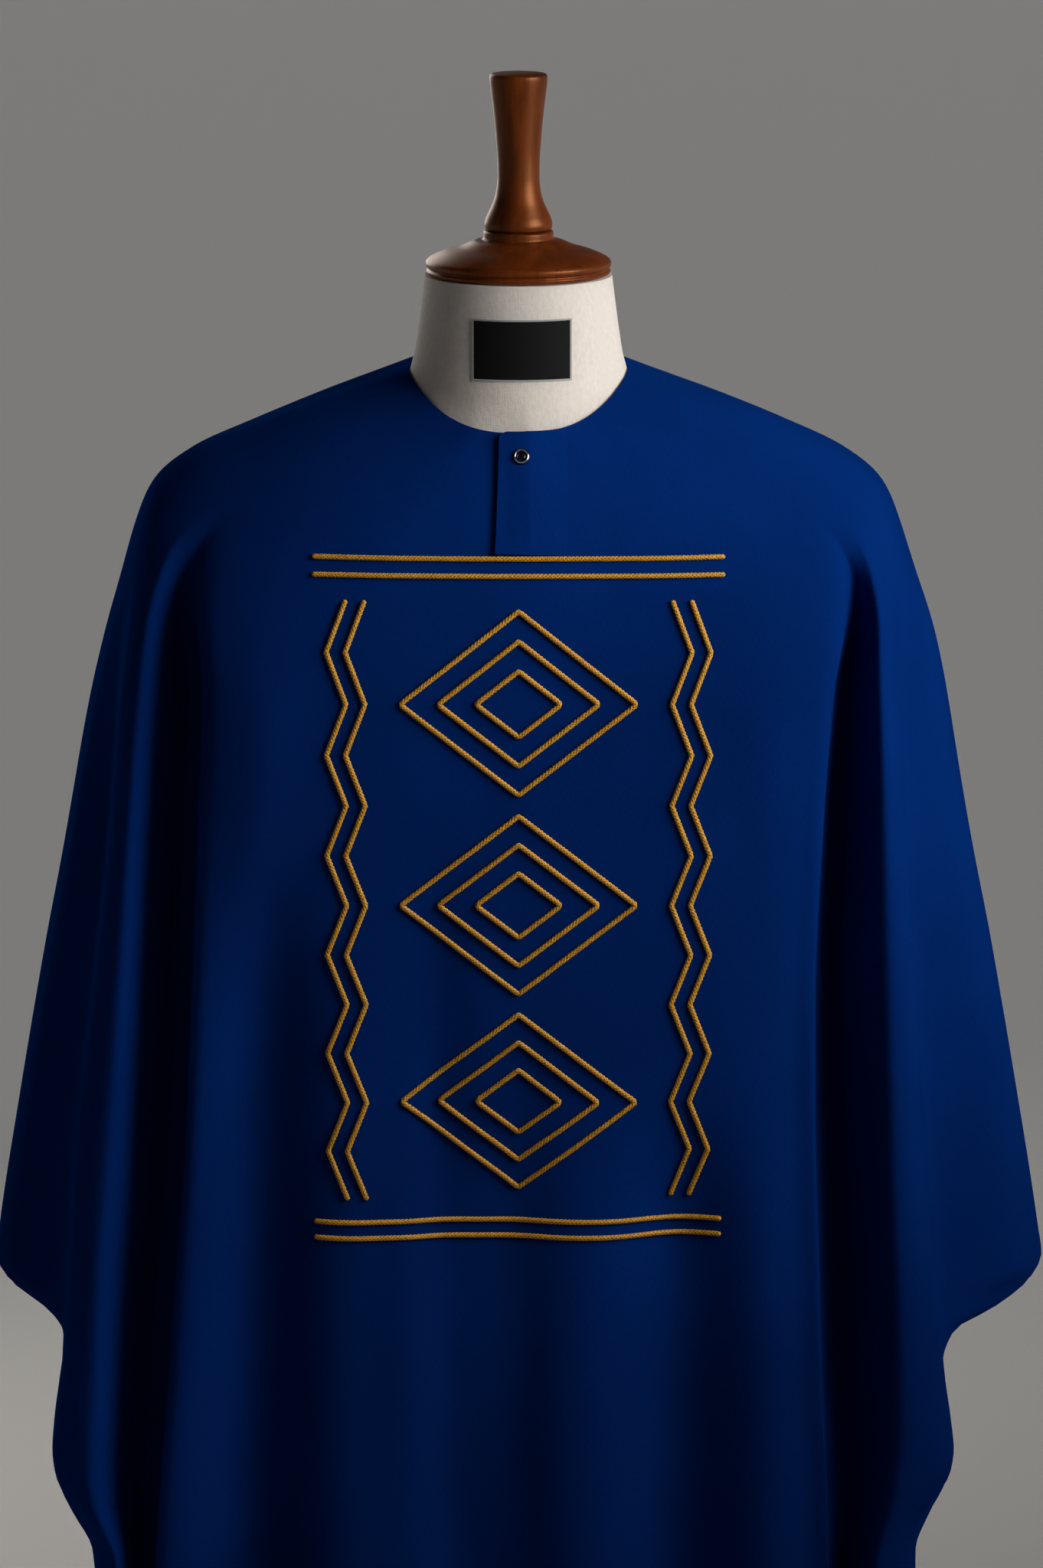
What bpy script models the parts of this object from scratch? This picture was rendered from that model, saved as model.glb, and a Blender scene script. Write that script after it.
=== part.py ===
"""A grand boubou robe on a turned-wood dress form, modelled at its real size in metres.

+Z is up, -Y is the robe's front, and the origin is the middle of the stand's underside.
The robe is cut as a front, a back and two full-length side panels, whose top fold makes
the sleeve and whose outer edge is the wrist opening. Every cloth piece is a thin wall,
worked out ring by ring from the neckline down to the hem.
"""

import math
from bisect import bisect_right
from collections import namedtuple
from functools import lru_cache

import bmesh
import bpy
from mathutils import Vector
from mathutils.bvhtree import BVHTree

# ---------------------------------------------------------------- driving sizes
CLOTH = 0.0015            # thickness of the robe's cloth
SEAM_GAP = 0.0004         # air between two cloth pieces along a seam
FORM_GAP = 0.0006         # air between the robe's inside and the form's shoulders
LAY_GAP = 0.0008          # air under trim that lies on the front
HEM_LEVEL = 0.14
SHOULDER_SEAM_LEVEL = 1.375   # ring where the side panels start
SLIT_LEVEL = 1.3955       # foot of the neck slit
SLIT_WIDTH = 0.0012
CUFF_TOP = 0.881          # outer corner of the sleeve
CUFF_FOOT = 0.50          # where the side seam closes the wrist opening

NECK_TOP = 1.5597
CAP_FOOT, CAP_RIM, CAP_CROWN = 1.5600, 1.5715, 1.5835
CAP_RADIUS, COLLAR_RADIUS, COLLAR_TOP = 0.0620, 0.0234, 1.5893
FINIAL_FOOT, FINIAL_TOP = 1.5896, 1.6940
FORM_FOOT = 0.800
POLE_RADIUS = 0.017
BASE_RADIUS, BASE_HEIGHT = 0.175, 0.030

# ---------------------------------------------------------------- the robe's tables
# One ring of the robe: its height at centre front (level), its side point, its front
# and back reach, its height at centre back, and how square its plan is (2 is an ellipse).
Ring = namedtuple("Ring", "level side_x side_z front_y back_y back_z square")
RINGS = [
    Ring(1.4655, 0.0735, 1.4970, -0.0785, 0.0715, 1.5080, 2.0),
    Ring(1.4520, 0.1000, 1.4880, -0.0850, 0.0810, 1.5000, 2.05),
    Ring(1.4320, 0.1400, 1.4750, -0.0945, 0.0930, 1.4840, 2.2),
    Ring(1.4080, 0.1830, 1.4580, -0.1040, 0.1050, 1.4600, 2.4),
    Ring(1.3800, 0.2205, 1.4410, -0.1130, 0.1150, 1.4290, 2.6),
    Ring(1.3500, 0.2410, 1.4220, -0.1200, 0.1220, 1.3940, 2.8),
    Ring(1.3180, 0.2540, 1.3940, -0.1260, 0.1270, 1.3550, 2.9),
    Ring(1.2800, 0.2680, 1.3520, -0.1300, 0.1300, 1.3100, 3.0),
    Ring(1.2200, 0.2865, 1.2850, -0.1330, 0.1300, 1.2400, 3.0),
    Ring(1.1200, 0.3130, 1.1400, -0.1345, 0.1280, 1.1250, 3.0),
    Ring(1.0000, 0.3415, 1.0000, -0.1355, 0.1270, 1.0000, 3.0),
    Ring(0.8810, 0.3600, 0.8810, -0.1380, 0.1290, 0.8810, 3.0),
    Ring(0.5000, 0.2850, 0.5000, -0.1510, 0.1420, 0.5000, 2.8),
    Ring(0.1400, 0.3250, 0.1400, -0.1700, 0.1620, 0.1400, 2.6),
]

# The fold lines beside each panel seam, from the body outwards: distance from the
# middle of the robe at each level. The edge is the outer fold and then the cuff.
Places = namedtuple("Places", "level lip valley crest crease tuck edge")
PLACES = {
    1: [
        Places(1.420, 0.2225, 0.2265, 0.2360, 0.2430, 0.2500, 0.2420),
        Places(1.360, 0.2185, 0.2240, 0.2360, 0.2435, 0.2500, 0.2540),
        Places(1.320, 0.2145, 0.2215, 0.2370, 0.2440, 0.2510, 0.2590),
        Places(1.250, 0.2075, 0.2180, 0.2400, 0.2490, 0.2545, 0.2810),
        Places(1.180, 0.2015, 0.2135, 0.2430, 0.2545, 0.2600, 0.2985),
        Places(1.090, 0.1966, 0.2097, 0.2470, 0.2622, 0.2670, 0.3232),
        Places(0.980, 0.1985, 0.2130, 0.2520, 0.2710, 0.2760, 0.3450),
        Places(0.900, 0.2015, 0.2165, 0.2560, 0.2790, 0.2830, 0.3575),
        Places(0.881, 0.2020, 0.2172, 0.2570, 0.2805, 0.2843, 0.3600),
        Places(0.867, 0.2025, 0.2178, 0.2575, 0.2815, 0.2850, 0.3490),
        Places(0.853, 0.2030, 0.2183, 0.2580, 0.2830, 0.2862, 0.3255),
        Places(0.839, 0.2035, 0.2188, 0.2586, 0.2845, 0.2872, 0.2975),
        Places(0.820, 0.2042, 0.2195, 0.2592, 0.2870, 0.2880, 0.2895),
        Places(0.790, 0.2055, 0.2210, 0.2600, 0.2915, 0.2922, 0.2930),
        Places(0.770, 0.2065, 0.2220, 0.2590, 0.2935, 0.2943, 0.2950),
        Places(0.755, 0.2070, 0.2225, 0.2570, 0.2905, 0.2930, 0.2945),
        Places(0.740, 0.2078, 0.2232, 0.2540, 0.2810, 0.2855, 0.2890),
        Places(0.725, 0.2082, 0.2236, 0.2490, 0.2690, 0.2750, 0.2800),
        Places(0.700, 0.2088, 0.2240, 0.2430, 0.2600, 0.2660, 0.2700),
        Places(0.600, 0.2105, 0.2225, 0.2420, 0.2600, 0.2680, 0.2730),
        Places(0.500, 0.2120, 0.2230, 0.2480, 0.2660, 0.2770, 0.2850),
        Places(0.140, 0.2350, 0.2480, 0.2780, 0.2980, 0.3120, 0.3250),
    ],
    -1: [
        Places(1.420, 0.2150, 0.2200, 0.2310, 0.2400, 0.2470, 0.2420),
        Places(1.360, 0.2080, 0.2160, 0.2380, 0.2470, 0.2515, 0.2540),
        Places(1.320, 0.2070, 0.2175, 0.2420, 0.2510, 0.2550, 0.2590),
        Places(1.250, 0.2085, 0.2205, 0.2500, 0.2610, 0.2650, 0.2785),
        Places(1.180, 0.2120, 0.2245, 0.2570, 0.2690, 0.2735, 0.2985),
        Places(1.090, 0.2165, 0.2302, 0.2655, 0.2820, 0.2875, 0.3232),
        Places(0.980, 0.2225, 0.2370, 0.2750, 0.2960, 0.3030, 0.3450),
        Places(0.900, 0.2290, 0.2445, 0.2820, 0.3020, 0.3076, 0.3575),
        Places(0.881, 0.2305, 0.2460, 0.2830, 0.3036, 0.3086, 0.3595),
        Places(0.867, 0.2315, 0.2472, 0.2838, 0.3042, 0.3086, 0.3480),
        Places(0.853, 0.2328, 0.2482, 0.2846, 0.3050, 0.3088, 0.3240),
        Places(0.839, 0.2338, 0.2490, 0.2852, 0.3058, 0.3090, 0.3110),
        Places(0.820, 0.2352, 0.2502, 0.2862, 0.3090, 0.3106, 0.3115),
        Places(0.790, 0.2378, 0.2522, 0.2880, 0.3135, 0.3140, 0.3145),
        Places(0.770, 0.2395, 0.2537, 0.2890, 0.3148, 0.3154, 0.3160),
        Places(0.755, 0.2408, 0.2548, 0.2885, 0.3125, 0.3145, 0.3155),
        Places(0.740, 0.2420, 0.2558, 0.2865, 0.3055, 0.3090, 0.3120),
        Places(0.725, 0.2432, 0.2565, 0.2810, 0.2925, 0.2980, 0.3040),
        Places(0.700, 0.2445, 0.2570, 0.2720, 0.2790, 0.2850, 0.2900),
        Places(0.600, 0.2445, 0.2550, 0.2695, 0.2770, 0.2810, 0.2840),
        Places(0.500, 0.2440, 0.2530, 0.2690, 0.2790, 0.2870, 0.2920),
        Places(0.140, 0.2440, 0.2570, 0.2830, 0.3010, 0.3140, 0.3250),
    ],
}

# How far each fold line lies behind the robe's front plane. The edge column is the half
# width of the wrist opening, from the sleeve's middle: 0 where the cloth is closed.
Depths = namedtuple("Depths", "level lip valley crest crease tuck edge")
DEPTHS = [
    Depths(1.420, 0.040, 0.042, 0.050, 0.056, 0.064, 0.000),
    Depths(1.360, 0.032, 0.050, 0.044, 0.052, 0.064, 0.000),
    Depths(1.320, 0.026, 0.064, 0.038, 0.050, 0.066, 0.000),
    Depths(1.250, 0.020, 0.075, 0.032, 0.045, 0.070, 0.000),
    Depths(1.180, 0.016, 0.080, 0.026, 0.040, 0.073, 0.000),
    Depths(1.090, 0.014, 0.081, 0.022, 0.037, 0.073, 0.000),
    Depths(0.980, 0.013, 0.080, 0.019, 0.034, 0.072, 0.000),
    Depths(0.900, 0.013, 0.079, 0.017, 0.033, 0.073, 0.000),
    Depths(0.881, 0.013, 0.078, 0.017, 0.033, 0.073, 0.000),
    Depths(0.867, 0.013, 0.078, 0.017, 0.033, 0.073, 0.020),
    Depths(0.853, 0.013, 0.077, 0.017, 0.033, 0.073, 0.036),
    Depths(0.839, 0.013, 0.077, 0.017, 0.033, 0.072, 0.046),
    Depths(0.820, 0.013, 0.076, 0.017, 0.034, 0.071, 0.057),
    Depths(0.790, 0.012, 0.073, 0.016, 0.036, 0.065, 0.067),
    Depths(0.770, 0.012, 0.071, 0.016, 0.036, 0.058, 0.073),
    Depths(0.755, 0.012, 0.070, 0.015, 0.035, 0.052, 0.079),
    Depths(0.740, 0.012, 0.069, 0.015, 0.032, 0.046, 0.086),
    Depths(0.725, 0.012, 0.068, 0.015, 0.028, 0.040, 0.092),
    Depths(0.700, 0.012, 0.066, 0.015, 0.023, 0.033, 0.099),
    Depths(0.600, 0.012, 0.062, 0.022, 0.036, 0.054, 0.078),
    Depths(0.500, 0.014, 0.060, 0.030, 0.054, 0.092, 0.000),
    Depths(0.140, 0.020, 0.066, 0.040, 0.068, 0.105, 0.000),
]

# Soft hanging folds of the front and back: a trough's place at its top and at the hem,
# its half width, its depth at the hem, and the level where it starts.
Trough = namedtuple("Trough", "top_x hem_x half_width depth start")
TROUGHS = {
    "front": [
        Trough(-0.167, -0.190, 0.036, 0.046, 1.26),
        Trough(-0.06, -0.039, 0.026, 0.014, 1.27),
        Trough(-0.003, -0.021, 0.048, 0.027, 1.15),
        Trough(0.110, 0.101, 0.044, 0.055, 1.10),
        Trough(0.183, 0.250, 0.045, 0.024, 1.32),
    ],
    "back": [
        Trough(-0.142, -0.16, 0.042, 0.046, 1.22),
        Trough(-0.048, -0.062, 0.04, 0.034, 1.12),
        Trough(0.052, 0.046, 0.044, 0.04, 1.16),
        Trough(0.145, 0.158, 0.04, 0.038, 1.19),
    ],
}
TROUGH_GROWTH = 0.58    # how soon a trough deepens below its start

# Stations round a quarter of the robe, as shares of it, with their bearing on a ring.
Station = namedtuple("Station", "share bearing")
STATIONS = [
    Station(0.00, 0.0), Station(0.20, 20.0), Station(0.38, 38.5), Station(0.46, 47.0),
    Station(0.50, 51.0), Station(0.56, 52.2), Station(0.61, 53.4), Station(0.66, 55.0),
    Station(0.72, 57.0), Station(0.79, 60.5), Station(0.83, 63.0), Station(0.87, 66.5),
    Station(0.935, 77.0), Station(1.00, 90.0),
]
SEAM_SHARE = 0.61         # the panel seam runs down the bottom of the valley

# ---------------------------------------------------------------- the grid of the walls
COLUMN_SHARES = [
    0.00, 0.10, 0.20, 0.29, 0.38, 0.46, 0.50, 0.56, 0.61,
    0.66, 0.72, 0.79, 0.83, 0.87, 0.91, 0.955, 1.00,
]
UPPER_LEVELS = [1.4655, 1.452, 1.432, 1.412, SLIT_LEVEL, SHOULDER_SEAM_LEVEL]
LOWER_LEVELS = [
    SHOULDER_SEAM_LEVEL, 1.350, 1.318, 1.280, 1.230, 1.170, 1.110, 1.045, 0.980, 0.930,
    0.903, CUFF_TOP, 0.868, 0.854, 0.840, 0.822, 0.802, 0.784, 0.768, 0.750, 0.733, 0.717,
    0.700, 0.660, 0.605, 0.550, CUFF_FOOT, 0.420, 0.325, 0.230, HEM_LEVEL,
]

# ---------------------------------------------------------------- the dress form's table
# Rings of the form above and below the stretch of shoulder that carries the robe.
FormRing = namedtuple("FormRing", "side_x side_z front_y front_z back_y back_z square")
NECK_RINGS = [
    FormRing(0.0625, NECK_TOP, -0.0625, NECK_TOP, 0.0625, NECK_TOP, 2.0),
    FormRing(0.0650, 1.5400, -0.0645, 1.5350, 0.0640, 1.5420, 2.0),
    FormRing(0.0680, 1.5180, -0.0680, 1.5050, 0.0660, 1.5240, 2.0),
    FormRing(0.0700, 1.5060, -0.0725, 1.4830, 0.0680, 1.5150, 2.0),
]
TORSO_RINGS = [
    FormRing(0.2110, 1.4290, -0.1060, 1.3600, 0.1060, 1.4080, 2.5),
    FormRing(0.2110, 1.4080, -0.1100, 1.3350, 0.1080, 1.3750, 2.4),
    FormRing(0.2040, 1.3700, -0.1130, 1.3000, 0.1090, 1.3350, 2.3),
    FormRing(0.1920, 1.3150, -0.1150, 1.2500, 0.1080, 1.2750, 2.2),
    FormRing(0.1770, 1.2400, -0.1130, 1.1950, 0.1040, 1.2100, 2.1),
    FormRing(0.1620, 1.1300, -0.1030, 1.1100, 0.0940, 1.1200, 2.1),
    FormRing(0.1560, 1.0300, -0.0960, 1.0300, 0.0890, 1.0300, 2.1),
    FormRing(0.1640, 0.9200, -0.0980, 0.9200, 0.0930, 0.9200, 2.1),
    FormRing(0.1690, 0.8300, -0.0990, 0.8300, 0.0960, 0.8300, 2.1),
    FormRing(0.1640, FORM_FOOT, -0.0960, FORM_FOOT, 0.0930, FORM_FOOT, 2.1),
]

# ---------------------------------------------------------------- trim and embroidery
PLACKET_FOOT_X, PLACKET_TOP_X, PLACKET_INNER_X = -0.0155, -0.0125, 0.0200
PLACKET_FOOT = 1.3925
SNAP_X, SNAP_HEIGHT, SNAP_RADIUS, SNAP_CAP_RADIUS = 0.0020, 1.4505, 0.0056, 0.0036

CORD_WIDTH, CORD_HEIGHT = 0.0040, 0.0016
CORD_STEP = 0.019         # longest straight stretch of a laid cord

EMBROIDERY_TOP, EMBROIDERY_FOOT = 1.386, 0.930
BAR_HALF_WIDTH, BAR_SPACING = 0.136, 0.011
LOZENGE_COUNT, LOZENGE_HALF_WIDTH, LOZENGE_GAP = 3, 0.078, 0.014
LOZENGE_SCALES = (1.0, 0.68, 0.36)
ZIGZAG_COUNT, ZIGZAG_DEPTH, ZIGZAG_TURNS = 2, 0.013, 12
ZIGZAG_X, ZIGZAG_SPACING = 0.101, 0.0125

LABEL_LEFT, LABEL_RIGHT, LABEL_FOOT, LABEL_TOP, LABEL_THICKNESS = -0.0303, 0.0348, 1.4975, 1.5378, 0.0008


def eased(rows, column):
    """A smooth curve through one column of a table, against the table's first column."""
    pairs = sorted((row[0], getattr(row, column)) for row in rows)
    knots = [pair[0] for pair in pairs]
    values = [pair[1] for pair in pairs]
    return monotone(knots, values)


def monotone(knots, values):
    """A cubic through the values that rises and falls only where they do."""
    gaps = [b - a for a, b in zip(knots, knots[1:])]
    rates = [(b - a) / gap for a, b, gap in zip(values, values[1:], gaps)]
    slopes = [rates[0]]
    for left, right in zip(rates, rates[1:]):
        slopes.append(2 * left * right / (left + right) if left * right > 0 else 0.0)
    slopes.append(rates[-1])

    def value(at):
        at = min(max(at, knots[0]), knots[-1])
        i = min(bisect_right(knots, at), len(knots) - 1) - 1
        t = (at - knots[i]) / gaps[i]
        start = (1 + 2 * t) * (1 - t) ** 2 * values[i] + t * (1 - t) ** 2 * gaps[i] * slopes[i]
        end = t * t * (3 - 2 * t) * values[i + 1] - t * t * (1 - t) * gaps[i] * slopes[i + 1]
        return start + end

    return value


def smoothstep(low, high, at):
    t = min(max((at - low) / (high - low), 0.0), 1.0)
    return t * t * (3 - 2 * t)


def mix(a, b, share):
    return a + (b - a) * share


RING_CURVES = {column: eased(RINGS, column) for column in Ring._fields[1:]}
PLACE_CURVES = {
    side: {column: eased(rows, column) for column in Places._fields[1:]}
    for side, rows in PLACES.items()
}
DEPTH_CURVES = {column: eased(DEPTHS, column) for column in Depths._fields[1:]}
BEARING = monotone([s.share for s in STATIONS], [s.bearing for s in STATIONS])


def plan(bearing, half_width, reach, square):
    """A point of a rounded-square plan at a bearing in degrees from its middle."""
    across, ahead = math.sin(math.radians(bearing)), math.cos(math.radians(bearing))
    size = (abs(across) ** square + abs(ahead) ** square) ** (-1 / square)
    return half_width * across * size, reach * ahead * size


def trough_depth(face, x, level):
    """How far the soft folds take the cloth in at x."""
    total = 0.0
    for trough in TROUGHS[face]:
        share = min(max((trough.start - level) / (trough.start - HEM_LEVEL), 0.0), 1.0)
        middle = mix(trough.top_x, trough.hem_x, share)
        width = trough.half_width * (0.8 + 0.4 * share)
        depth = trough.depth * share ** TROUGH_GROWTH * smoothstep(0.0, 0.20, share)
        total += depth * math.exp(-(((x - middle) / width) ** 2))
    return total


@lru_cache(maxsize=None)
def section(side, face, level):
    """The quarter of a ring on one side and face: (x of share, y of share)."""
    ring = {column: curve(level) for column, curve in RING_CURVES.items()}
    place = {column: curve(level) for column, curve in PLACE_CURVES[side].items()}
    depth = {column: curve(level) for column, curve in DEPTH_CURVES.items()}
    plane = ring["front_y"] if face == "front" else ring["back_y"]
    inward = 1 if face == "front" else -1
    fold = 1.0 if face == "front" else 0.8
    edge_x = place["edge"]

    y = {name: plane + inward * depth[name] * fold for name in ("lip", "crest", "crease", "tuck")}
    y["valley"] = plane + inward * depth["valley"] * fold
    y["edge"] = -inward * depth["edge"]
    wall_in = (mix(place["lip"], place["valley"], 0.12), mix(y["lip"], y["valley"], 0.5))
    wall_out = (mix(place["valley"], place["crest"], 0.42), mix(y["valley"], y["crest"], 0.5))
    turn = (mix(place["crease"], place["tuck"], 0.35) + 0.0015, mix(y["crease"], y["tuck"], 0.5))
    closed = 1 - smoothstep(0.0, 0.03, depth["edge"])
    bulge = mix(0.52, 0.80, closed)
    flank = (mix(place["tuck"], edge_x, bulge), mix(y["tuck"], y["edge"], 0.5))
    beyond_open = (2 * edge_x - flank[0], 2 * y["edge"] - flank[1])
    beyond_closed = (flank[0], -flank[1])
    beyond = [mix(a, b, closed) for a, b in zip(beyond_open, beyond_closed)]
    hung = [
        (0.0, plane), (0.42 * place["lip"], plane), (0.80 * place["lip"], mix(plane, y["lip"], 0.12)),
        (0.955 * place["lip"], mix(plane, y["lip"], 0.45)), (place["lip"], y["lip"]), wall_in,
        (place["valley"], y["valley"]), wall_out, (place["crest"], y["crest"]),
        (place["crease"], y["crease"]), turn, (place["tuck"], y["tuck"]), flank,
        (edge_x, y["edge"]),
    ]
    worn = [plan(s.bearing, ring["side_x"], plane, ring["square"]) for s in STATIONS]
    hanging = smoothstep(1.390, 1.260, level)
    shares = [-STATIONS[1].share] + [s.share for s in STATIONS] + [2 - STATIONS[-2].share]
    points = [(mix(a[0], b[0], hanging), mix(a[1], b[1], hanging)) for a, b in zip(worn, hung)]
    last = plan(180 - STATIONS[-2].bearing, ring["side_x"], plane, ring["square"])
    points = [(-points[1][0], points[1][1])] + points
    points.append((mix(last[0], beyond[0], hanging), mix(last[1], beyond[1], hanging)))
    return monotone(shares, [p[0] for p in points]), monotone(shares, [p[1] for p in points])


def robe_point(side, face, share, level):
    """A point of the robe's outside: side is 1 or -1, share 0 is the centre line and 1 the edge."""
    x_of, y_of = section(side, face, level)
    x, y = x_of(share), y_of(share)
    body = 1 - smoothstep(0.44, 0.54, share)
    inward = 1 if face == "front" else -1
    y += inward * body * trough_depth(face, side * x, level)
    middle_z = level if face == "front" else RING_CURVES["back_z"](level)
    lift = math.sin(math.radians(BEARING(share))) ** 3
    return Vector((side * x, y, mix(middle_z, RING_CURVES["side_z"](level), lift)))


def robe_normal(side, face, share, level):
    """The outward direction there, from points a small step apart on the same piece."""
    step, drop = 0.002, 0.0008
    low, high = max(share - step, 0.0), min(share + step, 1.0)
    foot = min(max(level - drop, HEM_LEVEL), level)
    if share == 0.0:
        x_run = robe_point(1, face, high, level) - robe_point(-1, face, high, level)
        x_run *= side
    else:
        x_run = robe_point(side, face, high, level) - robe_point(side, face, low, level)
    z_run = robe_point(side, face, share, min(level + drop, RINGS[0].level))
    z_run -= robe_point(side, face, share, foot)
    out = x_run.cross(z_run).normalized()
    return out * side if face == "front" else -out * side


# ---------------------------------------------------------------- Blender helpers
def material(name, colour, roughness, metallic=0.0):
    made = bpy.data.materials.new(name)
    made.use_nodes = True
    shader = made.node_tree.nodes["Principled BSDF"]
    shader.inputs["Base Color"].default_value = (*colour, 1.0)
    shader.inputs["Roughness"].default_value = roughness
    shader.inputs["Metallic"].default_value = metallic
    return made


def add_object(name, bm, finish):
    """Makes an object of the bmesh, smooth but for its sharp edges."""
    mesh = bpy.data.meshes.new(name)
    bmesh.ops.triangulate(bm, faces=bm.faces, quad_method="SHORT_EDGE")
    bmesh.ops.recalc_face_normals(bm, faces=bm.faces)
    bm.to_mesh(mesh)
    bm.free()
    mesh.materials.append(finish)
    mesh.shade_smooth()
    mesh.set_sharp_from_angle(angle=math.radians(50))
    made = bpy.data.objects.new(name, mesh)
    bpy.context.scene.collection.objects.link(made)
    return made


def wall(name, across, down, place, thickness, finish, keep=None, slit=None):
    """A closed wall on a grid of across by down cells.

    place(i, j, half) gives a grid point's outer place and outward direction, where half
    says whether the point belongs to the cells left (-1) or right (1) of the slit.
    keep(i, j) says which cells are cloth, and slit is (column, first row, last row) of a cut.
    """
    bm = bmesh.new()
    column_layer = bm.verts.layers.int.new("column")
    row_layer = bm.verts.layers.int.new("row")
    half_layer = bm.verts.layers.int.new("half")
    side_layer = bm.faces.layers.int.new("side")
    bmesh.ops.create_grid(bm, x_segments=across, y_segments=down, size=0.5)
    for v in bm.verts:
        v[column_layer] = round((v.co.x + 0.5) * across)
        v[row_layer] = round((v.co.y + 0.5) * down)
    cell = {}
    for face in bm.faces:
        middle = face.calc_center_median()
        cell[face] = (int((middle.x + 0.5) * across), int((middle.y + 0.5) * down))
        face[side_layer] = -1 if slit and cell[face][0] < slit[0] else 1
    if keep:
        gone = [face for face, at in cell.items() if not keep(*at)]
        bmesh.ops.delete(bm, geom=gone, context="FACES")
    if slit:
        column, first, last = slit
        cut = [
            e for e in bm.edges
            if all(v[column_layer] == column and first <= v[row_layer] <= last for v in e.verts)
        ]
        bmesh.ops.split_edges(bm, edges=cut)
    for v in bm.verts:
        v[half_layer] = min(face[side_layer] for face in v.link_faces)
    outward = {}
    for v in bm.verts:
        key = (v[column_layer], v[row_layer], v[half_layer])
        v.co, outward[key] = place(*key)
    made = bmesh.ops.extrude_face_region(bm, geom=bm.faces[:], use_keep_orig=True)
    for v in made["geom"]:
        if isinstance(v, bmesh.types.BMVert):
            key = (v[column_layer], v[row_layer], v[half_layer])
            v.co -= outward[key] * thickness
    return add_object(name, bm, finish)


def turned(name, profile, finish, steps=32):
    """A solid of revolution about the Z axis, through (radius, height) points."""
    bm = bmesh.new()
    points = [bm.verts.new((radius, 0.0, height)) for radius, height in profile]
    edges = [bm.edges.new(pair) for pair in zip(points, points[1:])]
    bmesh.ops.spin(
        bm, geom=points + edges, cent=(0, 0, 0), axis=(0, 0, 1),
        angle=2 * math.pi, steps=steps, use_merge=True,
    )
    bmesh.ops.remove_doubles(bm, verts=bm.verts, dist=1e-6)
    return add_object(name, bm, finish)


# ---------------------------------------------------------------- the robe
def nudged(side, face, share, level, along):
    """A share moved along the ring by a small distance in metres."""
    step = 0.004
    run = robe_point(side, face, min(share + step, 1.0), level)
    run -= robe_point(side, face, share - step, level)
    width = min(share + step, 1.0) - (share - step)
    return share + along * width / run.length


def body_panel(name, face, finish):
    """The front or back: seam to seam over the body, and out to the shoulder line above."""
    quarter = COLUMN_SHARES
    columns = [-share for share in reversed(quarter)] + quarter[1:]
    levels = UPPER_LEVELS[:-1] + LOWER_LEVELS
    levels = list(reversed(levels))
    seam = len(quarter) - 1 - quarter.index(SEAM_SHARE)
    last = len(columns) - 1
    armhole = levels.index(SHOULDER_SEAM_LEVEL)

    def keep(i, j):
        return seam <= i < last - seam or j >= armhole

    def place(i, j, half):
        share, level = abs(columns[i]), levels[j]
        side = 1 if columns[i] > 0 or (columns[i] == 0 and half > 0) else -1
        if i in (0, last) or (j < armhole and i in (seam, last - seam)):
            share = nudged(side, face, share, level, -SEAM_GAP / 2)
        if j == armhole and not seam < i < last - seam:
            level += SEAM_GAP
        point = robe_point(side, face, share, level)
        if face == "front" and share == 0 and level > SLIT_LEVEL:
            point.x += side * SLIT_WIDTH / 2
        return point, robe_normal(side, face, share, level)

    slit = (len(quarter) - 1, levels.index(SLIT_LEVEL), len(levels) - 1) if face == "front" else None
    return wall(name, last, len(levels) - 1, place, CLOTH, finish, keep=keep, slit=slit)


def side_panel(name, side, finish):
    """A side panel: from the front seam round the sleeve's outer fold to the back seam."""
    outer = [share for share in COLUMN_SHARES if share >= SEAM_SHARE]
    columns = [("front", share) for share in outer] + [("back", share) for share in outer[-2::-1]]
    levels = list(reversed(LOWER_LEVELS))
    fold, last = len(outer) - 1, len(columns) - 1

    def place(i, j, half):
        level = levels[j]
        face, share = columns[i]
        if i == fold and half > 0 and CUFF_FOOT < level < CUFF_TOP:
            face = "back"
        if i in (0, last):
            share = nudged(side, face, share, level, SEAM_GAP / 2)
        if j == len(levels) - 1:
            level -= SEAM_GAP
        return robe_point(side, face, share, level), robe_normal(side, face, share, level)

    slit = (fold, levels.index(CUFF_FOOT), levels.index(CUFF_TOP))
    return wall(name, last, len(levels) - 1, place, CLOTH, finish, slit=slit)


# ---------------------------------------------------------------- the dress form
def form_loop(ring):
    """A ring of the form, at the same bearings as the robe's columns."""
    points = []
    for side, face, share in loop_places():
        reach, middle_z = (ring.front_y, ring.front_z) if face == "front" else (ring.back_y, ring.back_z)
        bearing = BEARING(share)
        x, y = plan(bearing, ring.side_x, reach, ring.square)
        lift = math.sin(math.radians(bearing)) ** 3
        points.append(Vector((side * x, y, mix(middle_z, ring.side_z, lift))))
    return points


def loop_places():
    """(side, face, share) of each column round the form, from centre front and back to it."""
    inner, outer = COLUMN_SHARES, COLUMN_SHARES[-2:0:-1]
    loop = [(1, "front", share) for share in inner] + [(1, "back", share) for share in outer]
    loop += [(-1, "back", share) for share in inner] + [(-1, "front", share) for share in outer]
    return loop


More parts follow.
